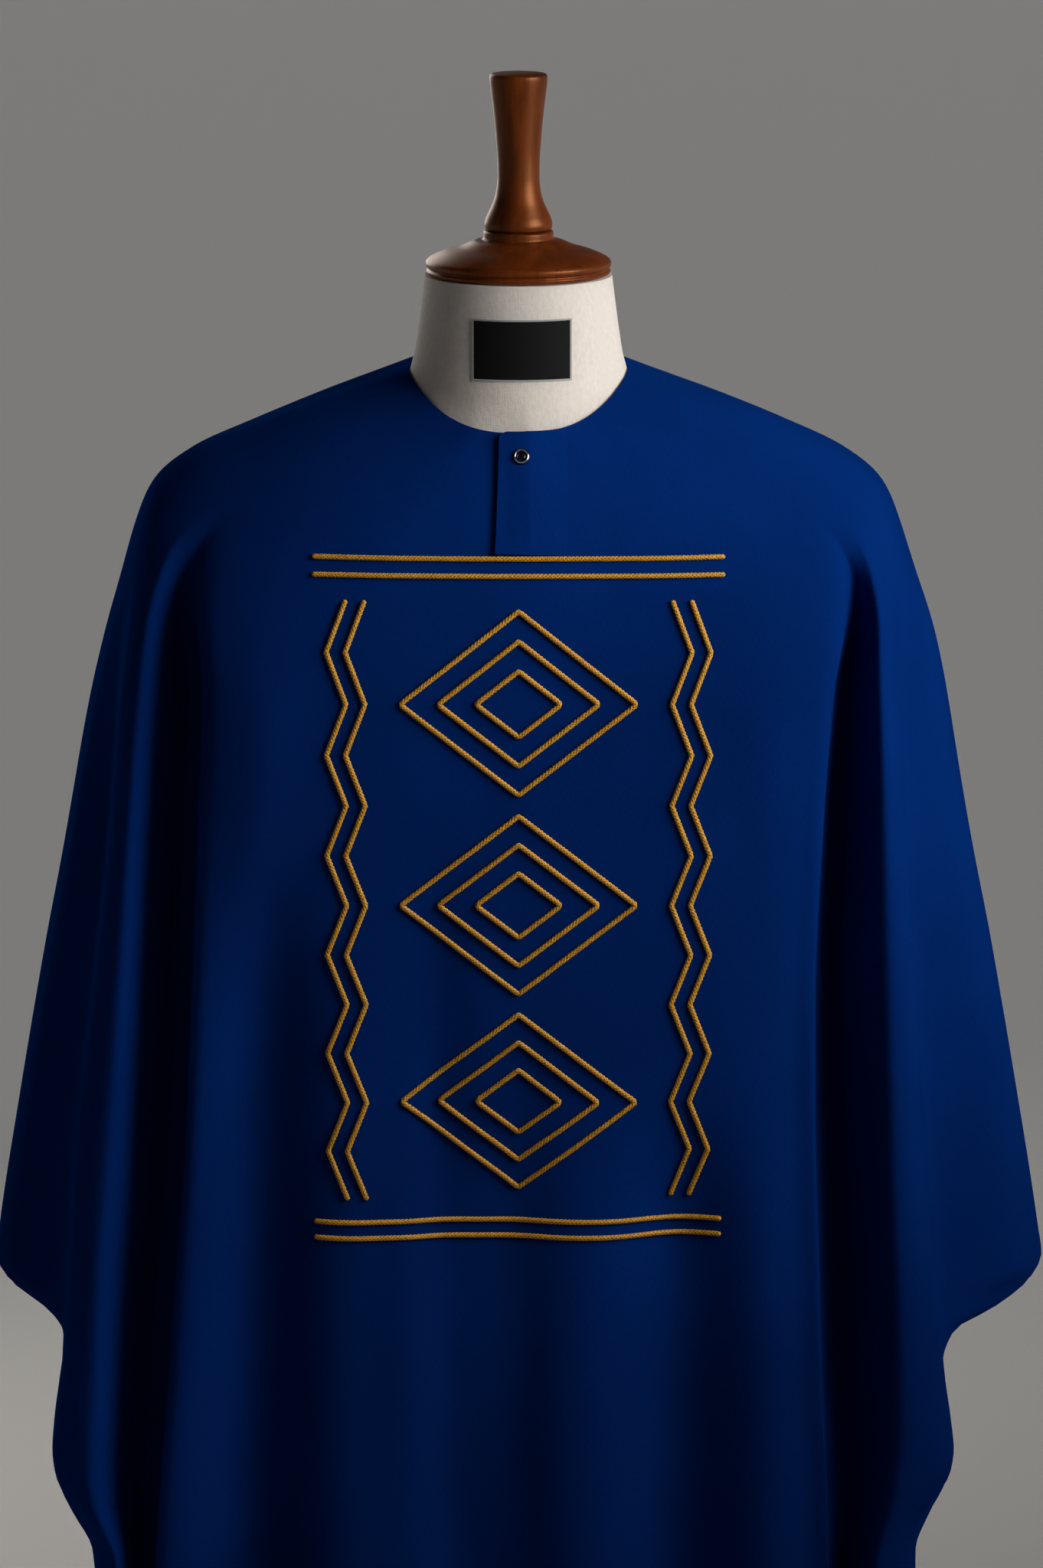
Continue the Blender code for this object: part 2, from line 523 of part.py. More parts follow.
def dress_form(finish):
    """The padded form: its neck, the shoulders that carry the robe, and its torso."""
    under = CLOTH + FORM_GAP
    loops = [form_loop(ring) for ring in NECK_RINGS]
    for level in UPPER_LEVELS[:-1]:
        loops.append([
            robe_point(*at, level) - robe_normal(*at, level) * under for at in loop_places()
        ])
    loops += [form_loop(ring) for ring in TORSO_RINGS]
    around, down = len(loops[0]), len(loops) - 1
    bm = bmesh.new()
    bmesh.ops.create_grid(bm, x_segments=around, y_segments=down, size=0.5)
    for v in bm.verts:
        i = round((v.co.x + 0.5) * around) % around
        j = round((0.5 - v.co.y) * down)
        v.co = loops[j][i]
    bmesh.ops.remove_doubles(bm, verts=bm.verts, dist=1e-5)
    bmesh.ops.holes_fill(bm, edges=[e for e in bm.edges if e.is_boundary])
    return add_object("dress_form", bm, finish)


def stand(wood):
    """The turned neck cap, its handle, the pole and the round base."""
    turned("neck_cap", [
        (0, CAP_FOOT), (CAP_RADIUS - 0.003, CAP_FOOT), (CAP_RADIUS - 0.0008, CAP_FOOT + 0.002),
        (CAP_RADIUS - 0.0012, CAP_FOOT + 0.0045), (CAP_RADIUS, CAP_FOOT + 0.007),
        (CAP_RADIUS - 0.0006, CAP_RIM - 0.0014), (CAP_RADIUS - 0.0035, CAP_RIM),
        (0.050, CAP_RIM + 0.0038), (0.038, CAP_RIM + 0.0072), (0.028, CAP_CROWN - 0.0012),
        (COLLAR_RADIUS + 0.001, CAP_CROWN), (COLLAR_RADIUS, CAP_CROWN + 0.001),
        (COLLAR_RADIUS, COLLAR_TOP - 0.0012), (COLLAR_RADIUS - 0.0012, COLLAR_TOP), (0, COLLAR_TOP),
    ], wood)
    turned("finial_handle", [
        (0, FINIAL_FOOT), (0.0210, FINIAL_FOOT), (0.0224, FINIAL_FOOT + 0.0018),
        (0.0226, FINIAL_FOOT + 0.0050), (0.0208, FINIAL_FOOT + 0.0100),
        (0.0176, FINIAL_FOOT + 0.0170), (0.0152, FINIAL_FOOT + 0.0240),
        (0.0140, FINIAL_FOOT + 0.0320), (0.0139, FINIAL_FOOT + 0.0420),
        (0.0148, FINIAL_FOOT + 0.0560), (0.0163, FINIAL_FOOT + 0.0730),
        (0.0180, FINIAL_FOOT + 0.0890), (0.0194, FINIAL_TOP - 0.0022),
        (0.0184, FINIAL_TOP - 0.0003), (0, FINIAL_TOP),
    ], wood)
    turned("stand_pole", [
        (0, BASE_HEIGHT + 0.0003), (POLE_RADIUS + 0.012, BASE_HEIGHT + 0.0003),
        (POLE_RADIUS + 0.012, BASE_HEIGHT + 0.010), (POLE_RADIUS + 0.004, BASE_HEIGHT + 0.026),
        (POLE_RADIUS, BASE_HEIGHT + 0.034), (POLE_RADIUS, FORM_FOOT - 0.020),
        (POLE_RADIUS + 0.010, FORM_FOOT - 0.0115), (POLE_RADIUS + 0.010, FORM_FOOT - 0.0003),
        (0, FORM_FOOT - 0.0003),
    ], wood, steps=24)
    turned("stand_base", [
        (0, 0), (BASE_RADIUS - 0.003, 0), (BASE_RADIUS, 0.003), (BASE_RADIUS, 0.012),
        (BASE_RADIUS - 0.006, 0.019), (BASE_RADIUS - 0.020, 0.024),
        (BASE_RADIUS - 0.028, BASE_HEIGHT), (0, BASE_HEIGHT),
    ], wood, steps=48)


# ---------------------------------------------------------------- trim on the front
def skin_of(base):
    """Gives the (point, outward) of a piece's front at (x, z), for what lies on it."""
    tree = BVHTree.FromPolygons(
        [v.co for v in base.data.vertices], [p.vertices for p in base.data.polygons]
    )

    def at(x, z):
        point, outward, _, _ = tree.ray_cast(Vector((x, -1.0, z)), Vector((0, 1, 0)))
        return point, outward

    return at


def neckline_height(x):
    """How high the front neckline stands at x."""
    low, high = 0.0, SEAM_SHARE
    for _ in range(24):
        share = (low + high) / 2
        if robe_point(1, "front", share, RINGS[0].level).x < abs(x):
            low = share
        else:
            high = share
    return robe_point(1, "front", low, RINGS[0].level).z


def patch(name, base, left, right, foot, top, thickness, finish, across=4, down=5):
    """A thin piece lying on another; left, right and top are functions of the place on it."""
    skin = skin_of(base)

    def place(i, j, _):
        rise = j / down
        x = mix(left(rise), right(rise), i / across)
        point, out = skin(x, mix(foot, top(x), rise))
        return point + out * (LAY_GAP + thickness), out

    return wall(name, across, down, place, thickness, finish)


def placket(front, finish):
    """The overlapping edge of the neck slit."""
    def left(rise):
        return mix(PLACKET_FOOT_X, PLACKET_TOP_X, rise)

    def right(_):
        return PLACKET_INNER_X

    def top(x):
        return neckline_height(x) - 0.0006

    return patch("placket", front, left, right, PLACKET_FOOT, top, CLOTH, finish)


def label(form, finish):
    """The plain patch on the form's neck."""
    def left(_):
        return LABEL_LEFT

    def right(_):
        return LABEL_RIGHT

    def top(_):
        return LABEL_TOP

    return patch("form_label", form, left, right, LABEL_FOOT, top, LABEL_THICKNESS, finish,
                 across=6, down=2)


def snap(flap, metal, black):
    """The press snap: a ring with a domed cap in it."""
    point, out = skin_of(flap)(SNAP_X, SNAP_HEIGHT)
    rise = 0.0003
    ring = turned("snap_ring", [
        (SNAP_CAP_RADIUS + 0.0003, rise), (SNAP_RADIUS, rise), (SNAP_RADIUS, rise + 0.0006),
        (SNAP_RADIUS - 0.0006, rise + 0.0011), (SNAP_CAP_RADIUS + 0.0006, rise + 0.0011),
        (SNAP_CAP_RADIUS + 0.0003, rise + 0.0008), (SNAP_CAP_RADIUS + 0.0003, rise),
    ], metal, steps=20)
    cap = turned("snap_cap", [
        (0, rise), (SNAP_CAP_RADIUS, rise), (SNAP_CAP_RADIUS, rise + 0.0007),
        (SNAP_CAP_RADIUS * 0.7, rise + 0.0012), (0, rise + 0.0014),
    ], black, steps=16)
    for piece in (ring, cap):
        piece.location = point
        piece.rotation_euler = out.to_track_quat("Z", "Y").to_euler()


def cord(name, skin, corners, finish, closed=False, step=CORD_STEP):
    """A laid cord through corners (x, z): a low bar with mitred turns that follows the cloth."""
    corners = [Vector(corner) for corner in corners]
    count = len(corners)
    runs = count if closed else count - 1
    samples = []
    for k in range(count):
        ahead = (corners[(k + 1) % count] - corners[k]) if k < runs else None
        behind = (corners[k] - corners[k - 1]) if closed or k else None
        first = (behind or ahead).normalized()
        second = (ahead or behind).normalized()
        side = (Vector((-first.y, first.x)) + Vector((-second.y, second.x))).normalized()
        side /= max(side.dot(Vector((-second.y, second.x))), 0.3)
        samples.append((corners[k], side))
        if ahead is None:
            break
        steps = math.ceil(ahead.length / step)
        straight = Vector((-second.y, second.x))
        samples += [(corners[k] + ahead * (n / steps), straight) for n in range(1, steps)]
    bm = bmesh.new()
    rings = []
    for middle, side in samples:
        ring = []
        for offset, height in ((-1, 0), (1, 0), (0.62, CORD_HEIGHT), (-0.62, CORD_HEIGHT)):
            spot = middle + side * (offset * CORD_WIDTH / 2)
            point, out = skin(spot.x, spot.y)
            ring.append(bm.verts.new(point + out * (LAY_GAP + height)))
        rings.append(ring)
    pairs = list(zip(rings, rings[1:])) + ([(rings[-1], rings[0])] if closed else [])
    for a, b in pairs:
        for k in range(4):
            bm.faces.new((a[k], a[(k + 1) % 4], b[(k + 1) % 4], b[k]))
    if not closed:
        bm.faces.new(rings[0])
        bm.faces.new(rings[-1])
    return add_object(name, bm, finish)


def bar_places(height):
    """Places along a bar at this height: its ends, and where the front's facets meet."""
    places = [0.0, -BAR_HALF_WIDTH, BAR_HALF_WIDTH]
    for side in (-1, 1):
        across = section(side, "front", height)[0]
        places += [side * across(share) for share in COLUMN_SHARES[1:]]
    return sorted(x for x in places if abs(x) <= BAR_HALF_WIDTH)


def embroidery(front, gold):
    """Nested lozenges down the middle between upright zigzags, with bars above and below."""
    skin = skin_of(front)
    for k, height in enumerate((
        EMBROIDERY_TOP, EMBROIDERY_TOP - BAR_SPACING, EMBROIDERY_FOOT + BAR_SPACING, EMBROIDERY_FOOT,
    )):
        cord(f"cord_bar_{k + 1}", skin, [(x, height) for x in bar_places(height)], gold, step=0.04)
    top, foot = EMBROIDERY_TOP - 2.4 * BAR_SPACING, EMBROIDERY_FOOT + 2.4 * BAR_SPACING
    pitch = (top - foot) / LOZENGE_COUNT
    for k in range(LOZENGE_COUNT):
        middle = top - (k + 0.5) * pitch
        for n, scale in enumerate(LOZENGE_SCALES):
            across, up = scale * LOZENGE_HALF_WIDTH, scale * (pitch - LOZENGE_GAP) / 2
            tips = [(0, middle + up), (across, middle), (0, middle - up), (-across, middle)]
            cord(f"cord_lozenge_{k + 1}_{n + 1}", skin, tips, gold, closed=True)
    for side, word in ((-1, "right"), (1, "left")):
        for n in range(ZIGZAG_COUNT):
            inner = ZIGZAG_X + n * ZIGZAG_SPACING
            turns = [
                (side * (inner + ZIGZAG_DEPTH * (k % 2)), mix(top, foot, k / ZIGZAG_TURNS))
                for k in range(ZIGZAG_TURNS + 1)
            ]
            cord(f"cord_zigzag_{word}_{n + 1}", skin, turns, gold)


def main():
    for obj in list(bpy.data.objects):
        bpy.data.objects.remove(obj)
    cloth = material("robe_cloth", (0.006, 0.040, 0.210), 0.7)
    gold = material("gold_cord", (0.560, 0.300, 0.060), 0.5)
    linen = material("form_linen", (0.72, 0.66, 0.58), 0.9)
    wood = material("turned_wood", (0.110, 0.033, 0.014), 0.35)
    black = material("black_enamel", (0.010, 0.010, 0.011), 0.25)
    metal = material("snap_metal", (0.70, 0.70, 0.72), 0.25, metallic=1.0)
    front = body_panel("front", "front", cloth)
    body_panel("back", "back", cloth)
    side_panel("sleeve_panel_left", 1, cloth)
    side_panel("sleeve_panel_right", -1, cloth)
    form = dress_form(linen)
    label(form, black)
    stand(wood)
    snap(placket(front, cloth), metal, black)
    embroidery(front, gold)


main()
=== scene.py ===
"""The looks of a grand boubou robe on a turned-wood dress form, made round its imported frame.

Lengths are metres, +Z is up and -Y is the robe's front. The cloth follows the same rings and
fold lines as the robe's solids, in finer steps and with the smaller creases added.
"""

import math
from collections import namedtuple

import bmesh
import bpy
import numpy as np
from bpy.props import FloatProperty, FloatVectorProperty, PointerProperty
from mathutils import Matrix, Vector, noise
from mathutils.bvhtree import BVHTree


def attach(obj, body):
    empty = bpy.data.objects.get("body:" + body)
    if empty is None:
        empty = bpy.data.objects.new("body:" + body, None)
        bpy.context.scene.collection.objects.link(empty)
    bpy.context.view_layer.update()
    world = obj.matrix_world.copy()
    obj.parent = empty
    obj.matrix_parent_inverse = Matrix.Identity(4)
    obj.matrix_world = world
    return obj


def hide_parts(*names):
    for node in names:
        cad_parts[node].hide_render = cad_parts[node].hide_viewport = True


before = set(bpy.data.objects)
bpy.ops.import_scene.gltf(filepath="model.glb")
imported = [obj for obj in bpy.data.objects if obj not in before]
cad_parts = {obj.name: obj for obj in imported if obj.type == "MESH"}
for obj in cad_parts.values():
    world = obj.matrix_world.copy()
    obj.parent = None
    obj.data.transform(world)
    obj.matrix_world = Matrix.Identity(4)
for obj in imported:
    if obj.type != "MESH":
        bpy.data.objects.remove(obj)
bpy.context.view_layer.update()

bl_info = {
    "name": "Grand boubou robe",
    "version": (1, 0, 0),
    "blender": (4, 5, 0),
    "location": "3D View > Sidebar > Boubou",
    "description": "Builds a corded grand boubou robe on a turned-wood dress form",
    "category": "Add Mesh",
}

# ---- sizes shared with the solids
FORM_GAP = 0.0006             # air between the robe's inside and the form's shoulders
HEM_LEVEL = 0.14
SHOULDER_SEAM_LEVEL = 1.375   # ring where the side panels start
SLIT_LEVEL = 1.3955           # foot of the neck slit
SLIT_WIDTH = 0.0012
CUFF_TOP = 0.881              # outer corner of the sleeve
CUFF_FOOT = 0.50              # where the side seam closes the wrist opening
SEAM_SHARE = 0.61             # the panel seam runs down the bottom of the valley
HANGING = (1.390, 1.260)      # between these levels the cloth leaves the shoulders and hangs
SIDE_LIFT = 3                 # how sharply a ring climbs towards its side point
BACK_FOLDS = 0.8              # depth of the back's fold lines against the front's
FLANK_OPEN, FLANK_CLOSED = 0.52, 0.80   # how far out the flank's point is, by the wrist opening's state
OPEN_CUFF = 0.03              # half width at which the wrist opening counts as open

# One ring of the robe: its height at centre front (level), its side point, its front
# and back reach, its height at centre back, and how square its plan is (2 is an ellipse).
Ring = namedtuple("Ring", "level side_x side_z front_y back_y back_z square")
RINGS = [Ring(*row) for row in (
    (1.4655, 0.0735, 1.4970, -0.0785, 0.0715, 1.5080, 2.0),
    (1.4520, 0.1000, 1.4880, -0.0850, 0.0810, 1.5000, 2.05),
    (1.4320, 0.1400, 1.4750, -0.0945, 0.0930, 1.4840, 2.2),
    (1.4080, 0.1830, 1.4580, -0.1040, 0.1050, 1.4600, 2.4),
    (1.3800, 0.2205, 1.4410, -0.1130, 0.1150, 1.4290, 2.6),
    (1.3500, 0.2410, 1.4220, -0.1200, 0.1220, 1.3940, 2.8),
    (1.3180, 0.2540, 1.3940, -0.1260, 0.1270, 1.3550, 2.9),
    (1.2800, 0.2680, 1.3520, -0.1300, 0.1300, 1.3100, 3.0),
    (1.2200, 0.2865, 1.2850, -0.1330, 0.1300, 1.2400, 3.0),
    (1.1200, 0.3130, 1.1400, -0.1345, 0.1280, 1.1250, 3.0),
    (1.0000, 0.3415, 1.0000, -0.1355, 0.1270, 1.0000, 3.0),
    (0.8810, 0.3600, 0.8810, -0.1380, 0.1290, 0.8810, 3.0),
    (0.5000, 0.2850, 0.5000, -0.1510, 0.1420, 0.5000, 2.8),
    (0.1400, 0.3250, 0.1400, -0.1700, 0.1620, 0.1400, 2.6),
)]

# The fold lines beside each panel seam, from the body outwards: distance from the
# middle of the robe at each level. The edge is the outer fold and then the cuff.
Places = namedtuple("Places", "level lip valley crest crease tuck edge")
PLACES = {
    1: [Places(*row) for row in (
        (1.420, 0.2225, 0.2265, 0.2360, 0.2430, 0.2500, 0.2420),
        (1.360, 0.2185, 0.2240, 0.2360, 0.2435, 0.2500, 0.2540),
        (1.320, 0.2145, 0.2215, 0.2370, 0.2440, 0.2510, 0.2590),
        (1.250, 0.2075, 0.2180, 0.2400, 0.2490, 0.2545, 0.2810),
        (1.180, 0.2015, 0.2135, 0.2430, 0.2545, 0.2600, 0.2985),
        (1.090, 0.1966, 0.2097, 0.2470, 0.2622, 0.2670, 0.3232),
        (0.980, 0.1985, 0.2130, 0.2520, 0.2710, 0.2760, 0.3450),
        (0.900, 0.2015, 0.2165, 0.2560, 0.2790, 0.2830, 0.3575),
        (0.881, 0.2020, 0.2172, 0.2570, 0.2805, 0.2843, 0.3600),
        (0.867, 0.2025, 0.2178, 0.2575, 0.2815, 0.2850, 0.3490),
        (0.853, 0.2030, 0.2183, 0.2580, 0.2830, 0.2862, 0.3255),
        (0.839, 0.2035, 0.2188, 0.2586, 0.2845, 0.2872, 0.2975),
        (0.820, 0.2042, 0.2195, 0.2592, 0.2870, 0.2880, 0.2895),
        (0.790, 0.2055, 0.2210, 0.2600, 0.2915, 0.2922, 0.2930),
        (0.770, 0.2065, 0.2220, 0.2590, 0.2935, 0.2943, 0.2950),
        (0.755, 0.2070, 0.2225, 0.2570, 0.2905, 0.2930, 0.2945),
        (0.740, 0.2078, 0.2232, 0.2540, 0.2810, 0.2855, 0.2890),
        (0.725, 0.2082, 0.2236, 0.2490, 0.2690, 0.2750, 0.2800),
        (0.700, 0.2088, 0.2240, 0.2430, 0.2600, 0.2660, 0.2700),
        (0.600, 0.2105, 0.2225, 0.2420, 0.2600, 0.2680, 0.2730),
        (0.500, 0.2120, 0.2230, 0.2480, 0.2660, 0.2770, 0.2850),
        (0.140, 0.2350, 0.2480, 0.2780, 0.2980, 0.3120, 0.3250),
    )],
    -1: [Places(*row) for row in (
        (1.420, 0.2150, 0.2200, 0.2310, 0.2400, 0.2470, 0.2420),
        (1.360, 0.2080, 0.2160, 0.2380, 0.2470, 0.2515, 0.2540),
        (1.320, 0.2070, 0.2175, 0.2420, 0.2510, 0.2550, 0.2590),
        (1.250, 0.2085, 0.2205, 0.2500, 0.2610, 0.2650, 0.2785),
        (1.180, 0.2120, 0.2245, 0.2570, 0.2690, 0.2735, 0.2985),
        (1.090, 0.2165, 0.2302, 0.2655, 0.2820, 0.2875, 0.3232),
        (0.980, 0.2225, 0.2370, 0.2750, 0.2960, 0.3030, 0.3450),
        (0.900, 0.2290, 0.2445, 0.2820, 0.3020, 0.3076, 0.3575),
        (0.881, 0.2305, 0.2460, 0.2830, 0.3036, 0.3086, 0.3595),
        (0.867, 0.2315, 0.2472, 0.2838, 0.3042, 0.3086, 0.3480),
        (0.853, 0.2328, 0.2482, 0.2846, 0.3050, 0.3088, 0.3240),
        (0.839, 0.2338, 0.2490, 0.2852, 0.3058, 0.3090, 0.3110),
        (0.820, 0.2352, 0.2502, 0.2862, 0.3090, 0.3106, 0.3115),
        (0.790, 0.2378, 0.2522, 0.2880, 0.3135, 0.3140, 0.3145),
        (0.770, 0.2395, 0.2537, 0.2890, 0.3148, 0.3154, 0.3160),
        (0.755, 0.2408, 0.2548, 0.2885, 0.3125, 0.3145, 0.3155),
        (0.740, 0.2420, 0.2558, 0.2865, 0.3055, 0.3090, 0.3120),
        (0.725, 0.2432, 0.2565, 0.2810, 0.2925, 0.2980, 0.3040),
        (0.700, 0.2445, 0.2570, 0.2720, 0.2790, 0.2850, 0.2900),
        (0.600, 0.2445, 0.2550, 0.2695, 0.2770, 0.2810, 0.2840),
        (0.500, 0.2440, 0.2530, 0.2690, 0.2790, 0.2870, 0.2920),
        (0.140, 0.2440, 0.2570, 0.2830, 0.3010, 0.3140, 0.3250),
    )],
}

# How far each fold line lies behind the robe's front plane. The edge column is the half
# width of the wrist opening, from the sleeve's middle: 0 where the cloth is closed.
Depths = namedtuple("Depths", "level lip valley crest crease tuck edge")
DEPTHS = [Depths(*row) for row in (
    (1.420, 0.040, 0.042, 0.050, 0.056, 0.064, 0.000),
    (1.360, 0.032, 0.050, 0.044, 0.052, 0.064, 0.000),
    (1.320, 0.026, 0.064, 0.038, 0.050, 0.066, 0.000),
    (1.250, 0.020, 0.075, 0.032, 0.045, 0.070, 0.000),
    (1.180, 0.016, 0.080, 0.026, 0.040, 0.073, 0.000),
    (1.090, 0.014, 0.081, 0.022, 0.037, 0.073, 0.000),
    (0.980, 0.013, 0.080, 0.019, 0.034, 0.072, 0.000),
    (0.900, 0.013, 0.079, 0.017, 0.033, 0.073, 0.000),
    (0.881, 0.013, 0.078, 0.017, 0.033, 0.073, 0.000),
    (0.867, 0.013, 0.078, 0.017, 0.033, 0.073, 0.020),
    (0.853, 0.013, 0.077, 0.017, 0.033, 0.073, 0.036),
    (0.839, 0.013, 0.077, 0.017, 0.033, 0.072, 0.046),
    (0.820, 0.013, 0.076, 0.017, 0.034, 0.071, 0.057),
    (0.790, 0.012, 0.073, 0.016, 0.036, 0.065, 0.067),
    (0.770, 0.012, 0.071, 0.016, 0.036, 0.058, 0.073),
    (0.755, 0.012, 0.070, 0.015, 0.035, 0.052, 0.079),
    (0.740, 0.012, 0.069, 0.015, 0.032, 0.046, 0.086),
    (0.725, 0.012, 0.068, 0.015, 0.028, 0.040, 0.092),
    (0.700, 0.012, 0.066, 0.015, 0.023, 0.033, 0.099),
    (0.600, 0.012, 0.062, 0.022, 0.036, 0.054, 0.078),
    (0.500, 0.014, 0.060, 0.030, 0.054, 0.092, 0.000),
    (0.140, 0.020, 0.066, 0.040, 0.068, 0.105, 0.000),
)]

# Soft hanging folds of the front and back: a trough's place at its top and at the hem,
# its half width, its depth at the hem, and the level where it starts.
Trough = namedtuple("Trough", "top_x hem_x half_width depth start")
TROUGHS = {
    "front": [
        Trough(-0.167, -0.190, 0.036, 0.046, 1.26),
        Trough(-0.06, -0.039, 0.026, 0.014, 1.27),
        Trough(-0.003, -0.021, 0.048, 0.027, 1.15),
        Trough(0.110, 0.101, 0.044, 0.055, 1.10),
        Trough(0.183, 0.250, 0.045, 0.024, 1.32),
    ],
    "back": [
        Trough(-0.142, -0.16, 0.042, 0.046, 1.22),
        Trough(-0.048, -0.062, 0.04, 0.034, 1.12),
        Trough(0.052, 0.046, 0.044, 0.04, 1.16),
        Trough(0.145, 0.158, 0.04, 0.038, 1.19),
    ],
}
TROUGH_GROWTH = 0.58          # how soon a trough deepens below its start
TROUGH_ONSET = 0.20           # share of its length over which it sets in
TROUGH_WIDTH, TROUGH_WIDENING = 0.8, 0.4    # its width at its start, and what the hem adds
TROUGH_FADE = (0.44, 0.54)    # shares between which the troughs give way to the fold lines

# Stations round a quarter of the robe, as shares of it, with their bearing on a ring.
Station = namedtuple("Station", "share bearing")
STATIONS = [Station(*row) for row in (
    (0.00, 0.0), (0.20, 20.0), (0.38, 38.5), (0.46, 47.0), (0.50, 51.0), (0.56, 52.2), (0.61, 53.4),
    (0.66, 55.0), (0.72, 57.0), (0.79, 60.5), (0.83, 63.0), (0.87, 66.5), (0.935, 77.0), (1.00, 90.0),
)]
# The same stations, bar the last two, where the cloth hangs: each lies from one fold line towards
# the next by a share in x and one in y, and then a little further out.
FOLD_STATIONS = (
    ("middle", "lip", 0, 0, 0), ("middle", "lip", 0.42, 0, 0), ("middle", "lip", 0.80, 0.12, 0),
    ("middle", "lip", 0.955, 0.45, 0), ("lip", "valley", 0, 0, 0), ("lip", "valley", 0.12, 0.5, 0),
    ("valley", "crest", 0, 0, 0), ("valley", "crest", 0.42, 0.5, 0), ("crest", "crease", 0, 0, 0),
    ("crease", "tuck", 0, 0, 0), ("crease", "tuck", 0.35, 0.5, 0.0015), ("tuck", "tuck", 0, 0, 0),
)

# Rings of the form above and below the stretch of shoulder that carries the robe.
FormRing = namedtuple("FormRing", "side_x side_z front_y front_z back_y back_z square")
FORM_FOOT = 0.800
NECK_TOP = 1.5597
NECK_RINGS = [FormRing(*row) for row in (
    (0.0625, NECK_TOP, -0.0625, NECK_TOP, 0.0625, NECK_TOP, 2.0),
    (0.0650, 1.5400, -0.0645, 1.5350, 0.0640, 1.5420, 2.0),
    (0.0680, 1.5180, -0.0680, 1.5050, 0.0660, 1.5240, 2.0),
    (0.0700, 1.5060, -0.0725, 1.4830, 0.0680, 1.5150, 2.0),
)]
TORSO_RINGS = [FormRing(*row) for row in (
    (0.2110, 1.4290, -0.1060, 1.3600, 0.1060, 1.4080, 2.5),
    (0.2110, 1.4080, -0.1100, 1.3350, 0.1080, 1.3750, 2.4),
    (0.2040, 1.3700, -0.1130, 1.3000, 0.1090, 1.3350, 2.3),
    (0.1920, 1.3150, -0.1150, 1.2500, 0.1080, 1.2750, 2.2),
    (0.1770, 1.2400, -0.1130, 1.1950, 0.1040, 1.2100, 2.1),
    (0.1620, 1.1300, -0.1030, 1.1100, 0.0940, 1.1200, 2.1),
    (0.1560, 1.0300, -0.0960, 1.0300, 0.0890, 1.0300, 2.1),
    (0.1640, 0.9200, -0.0980, 0.9200, 0.0930, 0.9200, 2.1),
    (0.1690, 0.8300, -0.0990, 0.8300, 0.0960, 0.8300, 2.1),
    (0.1640, FORM_FOOT, -0.0960, FORM_FOOT, 0.0930, FORM_FOOT, 2.1),
)]

# ---- the finer creases
# A soft crease in a panel: its place at its top and foot, its half width, and how far it
# stands out of the cloth (or, below 0, sinks into it) at its middle.
Crease = namedtuple("Crease", "top_x top_z foot_x foot_z half_width height")
CREASES = {
    "front": [
        Crease(0.150, 1.400, 0.186, 1.020, 0.020, 0.0022),
        Crease(-0.150, 1.395, -0.200, 1.000, 0.022, 0.0026),
        Crease(-0.085, 1.180, -0.098, 0.640, 0.018, -0.0022),
        Crease(0.020, 1.060, 0.032, 0.420, 0.022, 0.0028),
        Crease(-0.060, 0.980, -0.070, 0.300, 0.020, 0.0030),
        Crease(0.165, 1.000, 0.176, 0.420, 0.018, 0.0028),
    ],
    "back": [
        Crease(0.000, 1.330, 0.004, 0.700, 0.024, 0.0030),
        Crease(-0.100, 1.300, -0.108, 0.560, 0.020, -0.0030),
        Crease(0.100, 1.310, 0.112, 0.600, 0.020, 0.0028),
        Crease(0.170, 1.280, 0.186, 0.780, 0.018, -0.0024),
    ],
}
SLIT_HOLLOW_DEPTH = 0.0016    # how far the cloth sinks beside the placket's free edge
SLIT_HOLLOW_WIDTH, SLIT_HOLLOW_EDGE = 0.016, 0.004
SLIT_HOLLOW_RISE = (SLIT_LEVEL - 0.012, SLIT_LEVEL + 0.010)
NOISE_SCALE = (9.0, 9.0, 3.2)   # waves of the gentle unevenness in a metre, fewer down the cloth

# ---- grids of the cloth
BODY_CELLS, FOLD_CELLS = 62, 44   # cells of a quarter from the middle to the seam, and on to the edge
ROW_HEIGHT = 0.0055


def smoothstep(low, high, at):
    t = np.clip((at - low) / (high - low), 0.0, 1.0)
    return t * t * (3 - 2 * t)


def mix(a, b, share):
    return a + (b - a) * share


def monotone(knots, values):
    """A cubic through the values that rises and falls only where they do."""
    knots, values = np.asarray(knots, float), np.asarray(values, float)
    gaps = np.diff(knots)
    rates = np.diff(values) / gaps
    products, sums = rates[:-1] * rates[1:], rates[:-1] + rates[1:]
    inner = np.where(products > 0, 2 * products / np.where(products > 0, sums, 1.0), 0.0)
    slopes = np.concatenate([rates[:1], inner, rates[-1:]])

    def value(at):
        at = np.clip(at, knots[0], knots[-1])
        i = np.clip(np.searchsorted(knots, at, side="right") - 1, 0, len(gaps) - 1)
        t = (at - knots[i]) / gaps[i]
        start = (1 + 2 * t) * (1 - t) ** 2 * values[i] + t * (1 - t) ** 2 * gaps[i] * slopes[i]
        end = t * t * (3 - 2 * t) * values[i + 1] - t * t * (1 - t) * gaps[i] * slopes[i + 1]
        return start + end

    return value


def eased(rows, column):
    """A smooth curve through one column of a table, against the table's first column."""
    pairs = sorted((row[0], getattr(row, column)) for row in rows)
    return monotone([pair[0] for pair in pairs], [pair[1] for pair in pairs])


RING_CURVES = {column: eased(RINGS, column) for column in Ring._fields[1:]}
PLACE_CURVES = {
    side: {column: eased(rows, column) for column in Places._fields[1:]}
    for side, rows in PLACES.items()
}
DEPTH_CURVES = {column: eased(DEPTHS, column) for column in Depths._fields[1:]}
BEARING = monotone([s.share for s in STATIONS], [s.bearing for s in STATIONS])


